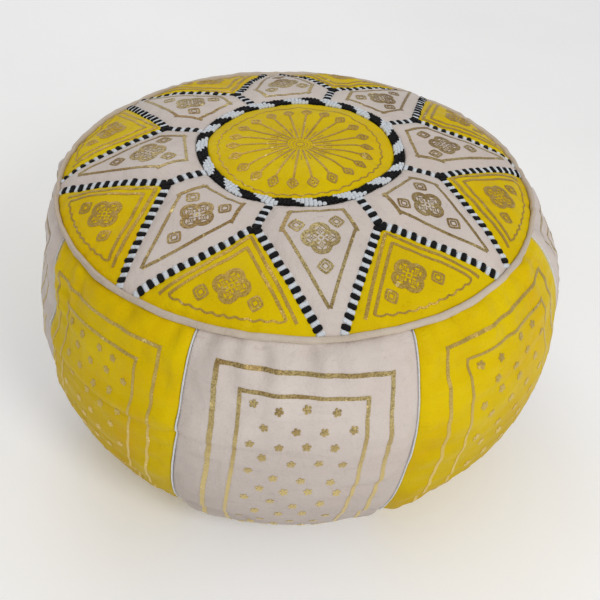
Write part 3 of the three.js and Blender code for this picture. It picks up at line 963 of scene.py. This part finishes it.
def add_rosette(body, surface, centre, size, turn):
    """Four lobes that cross in the middle, each with a star and a spot in it."""
    lobe = size / 2
    centre = np.array(centre)
    for k in range(4):
        out = k * TAU / 4
        middle = centre + lobe * np.array([math.cos(out), math.sin(out)])
        for scale, width, sweep in ROSETTE_RINGS:
            ring = arc(middle, lobe * scale, out - sweep, out + sweep)
            add_stroke(body, surface, ring, width, turn, step=1.5)
        star = round_points(middle, lobe * ROSETTE_STAR, 8)
        add_stroke(body, surface, star, 0.7, turn, closed=True)
        add_patch(body, surface, round_points(middle, ROSETTE_SPOT, 6), turn)
    add_patch(body, surface, diamond(centre, 1.6, 1.6), turn)


# The print on a kite: its frame's corners on the right half, each line a little past the next, and
# the places and sizes of a rosette and three double diamonds.
KITE_INNER = np.array([22.5, -109])
KITE_UPPER = np.array([(21.7, -106.8), (31.7, -133.5)])
KITE_LOWER = np.array([(31.1, -128.5), (0.5, -205)])
KITE_LINES = (2.5, 3.3, 2.7)
KITE_ROSETTE = ((-0.5, -141.5), 15.2)
KITE_DIAMONDS = ((14.5, -123.5), (-19, -127.5), (0.5, -169))
KITE_DIAMOND_SIZE = 6.4


def make_kite_gold(material):
    for i in range(PIECES):
        body, turn = Body(), i * SECTOR
        cross = [KITE_INNER * MIRROR - [3, 0.5], KITE_INNER + [1, 1.2 * (-1) ** i]]
        add_stroke(body, on_top, cross, KITE_LINES[0], turn)
        for side in BOTH_SIDES:
            add_stroke(body, on_top, KITE_UPPER * side, KITE_LINES[1], turn)
            add_stroke(body, on_top, KITE_LOWER * side, KITE_LINES[2], turn)
        add_rosette(body, on_top, *KITE_ROSETTE, turn)
        for centre in KITE_DIAMONDS:
            add_double_diamond(body, on_top, centre, KITE_DIAMOND_SIZE, turn)
        body.piece(f"gold_kite_{i + 1}", material, "gold_foil")


# The print on a triangle: two open frames, as apex, right end and width of line, a scalloped line
# along the rim, and a rosette and two double diamonds, which lie a little off their place on each.
TRIANGLE_FRAMES = (((0, -145.5), (57, -208), 2.9), ((0, -156.5), (48.5, -208), 2.6))
TRIANGLE_ROSETTE = ((0, -192.5), 14.6)
TRIANGLE_DIAMONDS = ((22.5, -202.3), (-22.5, -202.3))
TRIANGLE_DIAMOND_SIZE = 6.2
FRONT_SLIP = np.array([-4, 3])
SCALLOP_POINTS = 65
SCALLOPS = 5
SCALLOP_DEPTH = 1.6
SCALLOP_BOW = 8


def make_triangle_gold(material):
    share = np.linspace(-1, 1, SCALLOP_POINTS)
    dips = SCALLOP_DEPTH * np.abs(np.sin(share * math.pi * SCALLOPS))
    half, height = TRIANGLE_FRAMES[1][1]
    scallops = np.stack([share * half, height - SCALLOP_BOW * (1 - share**2) - dips], axis=-1)
    for i in range(PIECES):
        body, turn = Body(), (i + 0.5) * SECTOR
        slip = FRONT_SLIP if i == 0 else RNG.uniform(-1.5, 1.5, 2)
        for apex, end, width in TRIANGLE_FRAMES:
            add_stroke(body, on_top, [end * MIRROR, apex, end], width, turn)
        add_stroke(body, on_top, scallops, 1.5, turn)
        centre, size = TRIANGLE_ROSETTE
        add_rosette(body, on_top, centre + slip, size, turn)
        for centre in TRIANGLE_DIAMONDS:
            add_double_diamond(body, on_top, centre + slip, TRIANGLE_DIAMOND_SIZE, turn)
        body.piece(f"gold_triangle_{i + 1}", material, "gold_foil")


# The print on the medallion: rays, each with a double diamond at its end, spots round the middle
# and a wavy border, all a little off the middle.
RAYS = 22
RAY_ENDS = (12, 57)
RAY_DIAMOND = 63
RAY_SPOTS = (4, 7, 10)
RAY_BORDER = 77
PRINT_SLIP = np.array([-2, -7])


def turned_round(points, turn):
    """Plan points turned about the middle."""
    x, y = points[:, 0], points[:, 1]
    across = x * math.cos(turn) - y * math.sin(turn)
    return np.stack([across, x * math.sin(turn) + y * math.cos(turn)], axis=-1)


def make_medallion_gold(material):
    body = Body()

    def printed(points, height, turn):
        return on_top(points + PRINT_SLIP, height, turn)

    for k in range(RAYS):
        azimuth = k * TAU / RAYS + math.radians(3)
        ray = [plan(1, azimuth) * end for end in RAY_ENDS]
        add_stroke(body, printed, ray, 2.0, 0)
        for scale, width in ((1, 1.9), (0.4, 1.3)):
            turned = turned_round(diamond((0, -RAY_DIAMOND), 6 * scale, 4.6 * scale), azimuth)
            add_stroke(body, printed, turned, width, 0, closed=True)
        for radius in RAY_SPOTS:
            spot = round_points(plan(radius, azimuth + radius), 0.6, 5)
            add_patch(body, printed, spot, 0)
        between = azimuth + math.pi / RAYS
        add_stroke(body, printed, [plan(22, between), plan(30, between)], 0.8, 0)
    angles = np.linspace(0, TAU, 240, endpoint=False)
    wavy = [plan(RAY_BORDER + 0.9 * math.sin(a * RAYS * 2), a) for a in angles]
    add_stroke(body, printed, wavy, 1.1, 0, closed=True, step=3)
    body.piece("gold_medallion", material, "gold_foil")


PETALS = 5
PETAL_POINTS = 7
FLOWER_PETAL = (1.7, 1.25)
FLOWER_REACH = 2.35
FLOWER_HEART = 1.5


def add_flower(body, centre, turn):
    """Five petals round a heart."""
    spin = RNG.uniform(0, TAU)
    add_patch(body, on_side, round_points(centre, FLOWER_HEART, PETALS), turn, FLOWER_RISE + 0.04)
    for k in range(PETALS):
        out = spin + k * TAU / PETALS
        way = np.array([math.cos(out), math.sin(out)])
        side = np.array([-way[1], way[0]])
        petal = [
            centre
            + way * (FLOWER_REACH + FLOWER_PETAL[0] * math.cos(a))
            + side * FLOWER_PETAL[1] * math.sin(a) * (1.1 + 0.35 * math.cos(a))
            for a in np.arange(PETAL_POINTS) * TAU / PETAL_POINTS
        ]
        add_patch(body, on_side, np.array(petal), turn, FLOWER_RISE)


# The print on a side panel: two frames, as half their angle round the pouf, distances from the rim
# and the foot, width of line and share of the tilt; and rows of flowers, every other row set over.
SIDE_FRAMES = ((16.6, 27, 22, 3.9, 1), (11.9, 46, 42, 3.4, 0.7))
FRONT_TILT = 4.5
THIN_LINE = 0.82
FLOWER_COLUMNS = (-36, -12, 12, 36)
FLOWER_ROW = 19
FLOWER_START, FLOWER_END = 57, 50
FLOWER_STAGGER = 6
FLOWER_LIMIT = 47


def add_frame(body, half, top, bottom, width, tilt, turn):
    """A printed frame, its upper side tilted and its cross lines run out to its outer edge."""
    over = [width / 2, 0]
    a, b = np.array([-half, top - tilt]), np.array([half, top + tilt])
    c, d = np.array([half, bottom]), np.array([-half, bottom])
    for line in ([a - over, b + over], [b, c], [c + over, d - over], [d, a]):
        add_stroke(body, on_side, line, width, turn)


def make_side_gold(on_natural, on_yellow):
    for i in range(PIECES):
        body, turn = Body(), SIDE_OFFSET + i * SECTOR
        tilt = FRONT_TILT if i == 0 else RNG.uniform(-4, 4)
        thin = THIN_LINE if i % 2 else 1
        for angle, below, above, width, share in SIDE_FRAMES:
            half = math.radians(angle) * GIRTH_RADIUS
            ends = RIM_T + below, FOOT_T - above
            add_frame(body, half, *ends, width * thin, tilt * share, turn)
        for k, t in enumerate(np.arange(RIM_T + FLOWER_START, FOOT_T - FLOWER_END, FLOWER_ROW)):
            offset = FLOWER_STAGGER if k % 2 else -FLOWER_STAGGER
            for x in FLOWER_COLUMNS:
                spot = np.array([x + offset, t + tilt * x / 60]) + RNG.uniform(-3, 3, 2)
                if abs(spot[0]) < FLOWER_LIMIT:
                    add_flower(body, spot, turn)
        body.piece(f"gold_side_{i + 1}", on_yellow if i % 2 else on_natural, "gold_foil")


# ---- Base and filling --------------------------------------------------------------------


def base_outline():
    """The front half of the sole, with the zip's window cut into its straight edge."""
    radius, gap = BASE_RADIUS - LEATHER - 0.2, SEAM_GAP / 2
    turn = math.asin(gap / radius)
    round_edge = [
        (radius * math.cos(a), -radius * math.sin(a)) for a in np.linspace(turn, math.pi - turn, 130)
    ]
    corners = [
        round_edge[-1],
        (-WINDOW_HALF_LENGTH, -gap),
        (-WINDOW_HALF_LENGTH, -WINDOW_HALF_WIDTH),
        (WINDOW_HALF_LENGTH, -WINDOW_HALF_WIDTH),
        (WINDOW_HALF_LENGTH, -gap),
        round_edge[0],
    ]
    straight = list(resample(corners, 5)[1:-1])
    return np.array([*round_edge, *straight])[::-1]


BASE_LIFT = 0.5
BASE_RIPPLE = 0.2


def make_base(material, thread):
    """Two halves, a little rippled under the pouf, with their stitches along the zip."""
    outline = base_outline()
    points, faces, edge = flat_mesh(outline, 6)
    worn = np.clip(edge_distance(points, outline) / 3, 0, 1)
    waves = np.sin(points[:, 0] / 23 + 0.4 * np.sin(points[:, 1] / 17))
    ripple = (BASE_LIFT + BASE_RIPPLE * waves) * worn
    for name, turn in (("front", 0), ("rear", math.pi)):
        body = Body()
        under = np.column_stack([turned_round(points, turn), ripple])
        upper = under.copy()
        upper[:, 2] = LEATHER + 0.2
        body.add(np.vstack([upper, under]), slab_faces(faces, edge, len(points)))
        body.piece(f"leather_base_{name}", material, "leather_base", f"base_half_{name}")
        make_zip_stitches(name, turn, thread)


ZIP_STITCH_ROWS = (WINDOW_HALF_WIDTH + 2.2, WINDOW_HALF_WIDTH + 5.4)
ZIP_STITCH_PITCH = 3.4
ZIP_STITCH_HALF = 1.25
ZIP_THREAD = 0.35


def make_zip_stitches(name, turn, thread):
    """A row of small machine stitches on each side of the zip window."""
    body = Body()
    angle = np.arange(6) * TAU / 6
    stations = np.array([-1, -0.7, 0.7, 1])[:, None] * np.ones(len(angle))
    girth = np.array([0.4, 1, 1, 0.4])[:, None]
    spin = 1 if turn == 0 else -1
    faces = tube_faces(len(stations), len(angle))
    for row in ZIP_STITCH_ROWS:
        for x in np.arange(-WINDOW_HALF_LENGTH, WINDOW_HALF_LENGTH, ZIP_STITCH_PITCH):
            along = x + ZIP_STITCH_HALF * stations
            across = -row + ZIP_THREAD * girth * np.cos(angle)
            depth = ZIP_THREAD * (1 + 0.95 * girth * np.sin(angle))
            body.add(np.stack([spin * along, spin * across, depth], axis=-1), faces)
    body.piece(f"zip_stitches_{name}", thread, "thread_white")


FORM_ROWS, FORM_COLUMNS = 84, 96
FORM_TOP_HOLE, FORM_SOLE_HOLE = 6, 12
BAG_CLOTH = 0.9
CORE_FLOOR = BAG_FLOOR + 1.3


def add_form(body, depth, floor, hollow=False):
    """A closed form under the skin at a depth, flat at the floor."""
    azimuth, t = np.meshgrid(
        np.arange(FORM_COLUMNS) * TAU / FORM_COLUMNS,
        np.linspace(FORM_TOP_HOLE, FOOT_T + BASE_RADIUS - FORM_SOLE_HOLE, FORM_ROWS),
    )
    points = on_skin(azimuth, t, -depth)
    points[..., 2] = np.maximum(points[..., 2], floor)
    faces = grid_faces(FORM_ROWS, FORM_COLUMNS, wrap=True)
    faces.append(tuple(range(FORM_COLUMNS)))
    faces.append(tuple((FORM_ROWS - 1) * FORM_COLUMNS + j for j in reversed(range(FORM_COLUMNS))))
    body.add(points, turned_over(faces) if hollow else faces)


def make_filling(calico, cotton):
    """Inside the leather: a calico bag, packed with cotton."""
    bag = Body()
    add_form(bag, BAG_DEPTH, BAG_FLOOR)
    add_form(bag, BAG_DEPTH + BAG_CLOTH, BAG_FLOOR + BAG_CLOTH, hollow=True)
    bag = bag.piece("calico_bag", calico, "calico", "inner_bag_top", "inner_bag_base")
    core = Body()
    add_form(core, CORE_DEPTH, CORE_FLOOR)
    core = core.piece("cotton_core", cotton, "cotton_filling", "filling")


# ---- Materials: colours as seen on a screen, textures per metre, relief in metres ---------


def linear(red, green, blue):
    """An sRGB colour from 0 to 255 as Blender's linear colour."""
    parts = [c / 255 for c in (red, green, blue)]
    return (*[c / 12.92 if c <= 0.04045 else ((c + 0.055) / 1.055) ** 2.4 for c in parts], 1)


class Finish:
    """A material built from a Principled shader and the nodes that feed it."""

    def __init__(self, name):
        self.material = bpy.data.materials.new(name)
        self.material.use_nodes = True
        self.nodes = self.material.node_tree.nodes
        self.links = self.material.node_tree.links
        self.shader = next(n for n in self.nodes if n.type == "BSDF_PRINCIPLED")
        self.place = self.nodes.new("ShaderNodeTexCoord").outputs["Object"]
        self.height = None

    def node(self, kind, feed, socket, **values):
        """A node with these values on its sockets and one socket fed by another node."""
        made = self.nodes.new(f"ShaderNode{kind}")
        for name, value in values.items():
            made.inputs[name.replace("_", " ")].default_value = value
        self.links.new(feed, made.inputs[socket])
        return made

    def stretched(self, x, y, z):
        return self.node("Mapping", self.place, "Vector", Scale=(x, y, z)).outputs["Vector"]

    def noise(self, per_metre, detail=3, roughness=0.5, distortion=0.0, place=None):
        made = self.node(
            "TexNoise",
            place or self.place,
            "Vector",
            Scale=per_metre,
            Detail=detail,
            Roughness=roughness,
            Distortion=distortion,
        )
        return made.outputs["Fac"]

    def cells(self, per_metre):
        return self.node("TexVoronoi", self.place, "Vector", Scale=per_metre).outputs["Distance"]

    def wave(self, per_metre, direction, distortion):
        made = self.node(
            "TexWave", self.place, "Vector", Scale=per_metre, Distortion=distortion
        )
        made.bands_direction = direction
        return made.outputs["Fac"]

    def ramp(self, value, low, high, from_value=0.0, to_value=1.0):
        made = self.node(
            "MapRange",
            value,
            "Value",
            From_Min=low,
            From_Max=high,
            To_Min=from_value,
            To_Max=to_value,
        )
        return made.outputs["Result"]

    def mix(self, share, first, second):
        node = self.nodes.new("ShaderNodeMix")
        node.data_type = "RGBA"
        self.links.new(share, node.inputs["Factor"])
        for socket, colour in ((node.inputs[6], first), (node.inputs[7], second)):
            if isinstance(colour, tuple):
                socket.default_value = colour
            else:
                self.links.new(colour, socket)
        return node.outputs[2]

    def high(self):
        return self.node("SeparateXYZ", self.place, "Vector").outputs["Z"]

    def colour(self, socket):
        self.links.new(socket, self.shader.inputs["Base Color"])

    def roughness(self, socket):
        self.links.new(socket, self.shader.inputs["Roughness"])

    def bump(self, value, depth):
        """Relief on top of the relief the finish already has."""
        made = self.node("Bump", value, "Height", Strength=1, Distance=depth)
        if self.height is not None:
            self.links.new(self.height, made.inputs["Normal"])
        self.height = made.outputs["Normal"]
        self.links.new(self.height, self.shader.inputs["Normal"])


def leather(name, main, pale, dark, tint, gloss, shine=0.3):
    """Vegetable-tanned goatskin: pebbled grain, hair-fine creases, blotches, rubbed spots, and painted
    shade that darkens it towards the floor.
    """
    f = Finish(name)
    blotch = f.ramp(f.noise(16, 4, 0.6), 0.35, 0.68)
    base = f.mix(blotch, linear(*main), linear(*pale))
    tinted = f.ramp(f.noise(8.5, 5, 0.65, 0.6), 0.5, 0.74, 0, 0.6)
    base = f.mix(tinted, base, linear(*tint))
    speck = f.ramp(f.noise(420, 3, 0.7), 0.6, 0.8, 0, 0.35)
    base = f.mix(speck, base, linear(*dark))
    crease = f.ramp(f.noise(95, 6, 0.72, 1.2, f.stretched(1, 1, 2.6)), 0.30, 0.42, 0.32, 0)
    base = f.mix(crease, base, linear(*dark))
    # Painted shade: from 210 mm down to 40 mm the colour is mixed ever more towards a darker tone, up
    # to half, standing for the lower side getting less light.
    painted_low_shade = f.ramp(f.high(), 0.21, 0.04, 0, 0.5)
    base = f.mix(painted_low_shade, base, linear(*[c * 0.8 for c in dark]))
    f.colour(base)
    f.roughness(f.ramp(f.noise(60, 4, 0.6), 0.3, 0.7, gloss - 0.07, gloss + 0.1))
    f.bump(f.noise(38, 5, 0.62, 0.8, f.stretched(1, 1, 2.2)), 0.0017)
    f.bump(f.noise(30, 4, 0.6, 1.1, f.stretched(1.9, 1.9, 0.6)), 0.0013)
    f.bump(f.cells(820), 0.00016)
    f.bump(f.noise(1500, 2, 0.6), 0.00006)
    f.shader.inputs["Specular IOR Level"].default_value = shine
    return f.material


def thread(name, main, pale, gloss=0.8, sheen=0.15):
    """Spun thread: fine fibres twisted round the strand."""
    f = Finish(name)
    fibre = f.noise(900, 3, 0.75, 1.5)
    f.colour(f.mix(f.ramp(fibre, 0.3, 0.7), linear(*main), linear(*pale)))
    f.roughness(f.ramp(f.noise(300, 2, 0.5), 0.3, 0.7, gloss - 0.1, gloss + 0.1))
    f.bump(fibre, 0.0004)
    f.bump(f.wave(700, "DIAGONAL", 3), 0.0002)
    f.shader.inputs["Sheen Weight"].default_value = sheen
    f.shader.inputs["Specular IOR Level"].default_value = 0.25
    return f.material


def gold_foil(name, main, pale, dark, metal):
    """Hot-stamped gold foil, rubbed thin over the leather's grain, paler towards the bottom, with
    painted glints.
    """
    f = Finish(name)
    patch = f.ramp(f.noise(14, 3, 0.6), 0.4, 0.62)
    base = f.mix(patch, linear(*main), linear(*pale))
    worn = f.ramp(f.noise(640, 4, 0.75), 0.42, 0.62, 0, 0.8)
    base = f.mix(worn, base, linear(*dark))
    # Painted highlight: small spots of the colour turned bright pale gold, standing for glints of
    # reflected light.
    painted_glint = f.ramp(f.noise(110, 4, 0.7), 0.62, 0.7)
    # Paler towards the bottom: from 235 mm down to 140 mm the colour is mixed ever more towards the
    # pale tone, up to nine tenths.
    paler_towards_bottom = f.ramp(f.high(), 0.235, 0.14, 0, 0.9)
    base = f.mix(paler_towards_bottom, base, linear(*[c * 1.06 for c in pale]))
    f.colour(f.mix(painted_glint, base, linear(238, 218, 150)))
    f.roughness(f.ramp(f.noise(260, 3, 0.6), 0.3, 0.7, 0.24, 0.5))
    f.bump(f.noise(800, 4, 0.7), 0.0003)
    f.shader.inputs["Metallic"].default_value = metal
    return f.material


def brass():
    f = Finish("brass")
    tarnish = f.ramp(f.noise(180, 5, 0.65), 0.4, 0.7)
    f.colour(f.mix(tarnish, linear(190, 150, 78), linear(128, 96, 50)))
    f.roughness(f.ramp(f.noise(420, 3, 0.6), 0.3, 0.7, 0.24, 0.42))
    f.bump(f.noise(1400, 2, 0.5), 0.00004)
    f.shader.inputs["Metallic"].default_value = 1.0
    return f.material


def woven(name, main, pale, per_metre, depth):
    """A plain weave: threads crossing square, a little uneven."""
    f = Finish(name)
    warp = f.wave(per_metre, "X", 0.6)
    weft = f.wave(per_metre, "Y", 0.6)
    both = f.mix(f.ramp(f.noise(90, 3, 0.6), 0.4, 0.6), linear(*main), linear(*pale))
    f.colour(f.mix(f.ramp(warp, 0.2, 0.9, 0.35, 0), both, linear(*[c * 0.8 for c in main])))
    f.roughness(f.ramp(f.noise(200, 2, 0.5), 0.3, 0.7, 0.82, 0.96))
    f.bump(warp, depth)
    f.bump(weft, depth)
    f.shader.inputs["Sheen Weight"].default_value = 0.2
    return f.material


def cotton_wadding():
    f = Finish("cotton_wadding")
    tuft = f.noise(60, 6, 0.75, 1.0)
    f.colour(f.mix(f.ramp(tuft, 0.35, 0.65), linear(226, 218, 200), linear(246, 241, 230)))
    f.roughness(f.ramp(f.noise(200, 2, 0.5), 0.3, 0.7, 0.9, 1.0))
    f.bump(tuft, 0.003)
    f.shader.inputs["Sheen Weight"].default_value = 0.3
    return f.material


# ---- Camera, light and floor -------------------------------------------------------------

CAMERA_AZIMUTH = math.radians(-8.62)
CAMERA_RISE = math.radians(32.35)
CAMERA_REACH = 3.595 * RIM_RADIUS
LOOK_DOWN = math.radians(40.65)
LOOK_RIGHT = math.radians(0.81)
CAMERA_ROLL = math.radians(3.06)
LENS = 50.12


def make_camera():
    """On a circle round the middle of the rim's height, tipped down towards the crown."""
    back = Vector((math.sin(CAMERA_AZIMUTH), -math.cos(CAMERA_AZIMUTH), 0))
    place = back * math.cos(CAMERA_RISE) * CAMERA_REACH
    place.z = RIM_HEIGHT + math.sin(CAMERA_RISE) * CAMERA_REACH
    ahead = Matrix.Rotation(-LOOK_RIGHT, 3, "Z") @ -back
    view = ahead * math.cos(LOOK_DOWN) + Vector((0, 0, -math.sin(LOOK_DOWN)))
    data = bpy.data.cameras.new("camera")
    data.sensor_width, data.lens = 36, LENS
    data.clip_start, data.clip_end = 0.01, 100
    camera = new_object("camera", data)
    turn = view.to_track_quat("-Z", "Y").to_matrix() @ Matrix.Rotation(CAMERA_ROLL, 3, "Z")
    camera.matrix_world = Matrix.Translation(place * MM) @ turn.to_4x4()
    bpy.context.scene.camera = camera


# The studio: place and size of each light in metres, its power in watts. The floor is in millimetres
# and lies a little under the pouf.
LIGHT_TARGET = Vector((0, 0, 0.2))
KEY_LIGHT = ((0.5, -1.2, 1.15), 0.5, 8)
BACK_LIGHT = ((-0.4, 1.6, 1.8), 1.4, 7)
SKY_STRENGTH = 0.57
FLOOR_HALF = 6000
FLOOR_DROP = 0.4
FLOOR_GLOW = 0.1


def add_light(name, place, size, power):
    data = bpy.data.lights.new(name, "AREA")
    data.shape, data.size, data.energy = "DISK", size, power
    light = new_object(name, data)
    light.location = place
    light.rotation_mode = "QUATERNION"
    light.rotation_quaternion = (LIGHT_TARGET - Vector(place)).to_track_quat("-Z", "Y")


def make_studio():
    world = bpy.data.worlds.new("studio")
    bpy.context.scene.world = world
    world.use_nodes = True
    sky = world.node_tree.nodes["Background"].inputs
    sky["Color"].default_value = (1, 1, 1, 1)
    sky["Strength"].default_value = SKY_STRENGTH
    add_light("key", *KEY_LIGHT)
    add_light("back", *BACK_LIGHT)

    corners = [
        (x * FLOOR_HALF, y * FLOOR_HALF, -FLOOR_DROP) for x, y in ((-1, -1), (1, -1), (1, 1), (-1, 1))
    ]
    mesh = new_mesh("floor", corners, [(0, 1, 2, 3)])
    floor = new_object("floor", mesh)
    f = Finish("floor")
    f.colour(f.mix(f.ramp(f.noise(3, 2, 0.5), 0.3, 0.7), linear(250, 250, 250), linear(246, 246, 246)))
    f.shader.inputs["Roughness"].default_value = 0.85
    f.shader.inputs["Emission Color"].default_value = (1, 1, 1, 1)
    f.shader.inputs["Emission Strength"].default_value = FLOOR_GLOW
    mesh.materials.append(f.material)
    bpy.context.scene.view_settings.view_transform = "Standard"


# ---- Assembly ----------------------------------------------------------------------------

RELIEF = make_relief()

natural = leather(
    "leather_natural", (204, 192, 184), (212, 201, 193), (172, 156, 146), (206, 188, 178), 0.5
)
yellow = leather(
    "leather_yellow", (212, 181, 0), (222, 194, 0), (170, 128, 0), (216, 168, 0), 0.42, 0.06
)
piping = leather(
    "leather_piping", (192, 177, 160), (203, 189, 172), (146, 130, 112), (184, 166, 146), 0.55
)
sole = leather("leather_base", (150, 116, 76), (168, 134, 92), (104, 76, 46), (138, 102, 64), 0.6)
edge = thread("leather_edge", (228, 230, 234), (244, 246, 248), 0.85)
black_thread = thread("thread_black", (5, 5, 7), (14, 14, 19), 0.75, 0.0)
white_thread = thread("thread_white", (216, 224, 232), (240, 244, 248))
foil = gold_foil("gold_foil", (156, 126, 74), (202, 182, 124), (92, 72, 42), 0.66)
pale_foil = gold_foil("gold_foil_on_yellow", (184, 150, 70), (204, 170, 82), (150, 120, 48), 0.72)
side_foil = gold_foil("gold_foil_on_side", (182, 152, 70), (208, 181, 94), (150, 122, 46), 0.45)

make_medallion(yellow)
kite, triangle = kite_outline(), triangle_outline()
for number in range(1, PIECES + 1):
    turn = (number - 1) * SECTOR
    top_panel("kite", number, kite, turn, natural, "leather_natural")
    top_panel("triangle", number, triangle, turn + SECTOR / 2, yellow, "leather_yellow")
make_lacing(black_thread, white_thread)
make_braid(black_thread, white_thread)
make_side_panels(natural, yellow)
make_welts(edge)
make_piping(piping)
make_kite_gold(foil)
make_triangle_gold(pale_foil)
make_medallion_gold(pale_foil)
make_side_gold(foil, side_foil)
make_base(sole, white_thread)
make_filling(woven("calico", (224, 214, 192), (236, 228, 210), 900, 0.0003), cotton_wadding())

tape = woven("zip_tape", (84, 68, 50), (98, 82, 62), 1400, 0.00015)
metal = brass()
for name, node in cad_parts.items():
    if name.startswith("zipper"):
        node.data.materials.clear()
        node.data.materials.append(tape if "tape" in name else metal)

make_camera()
make_studio()
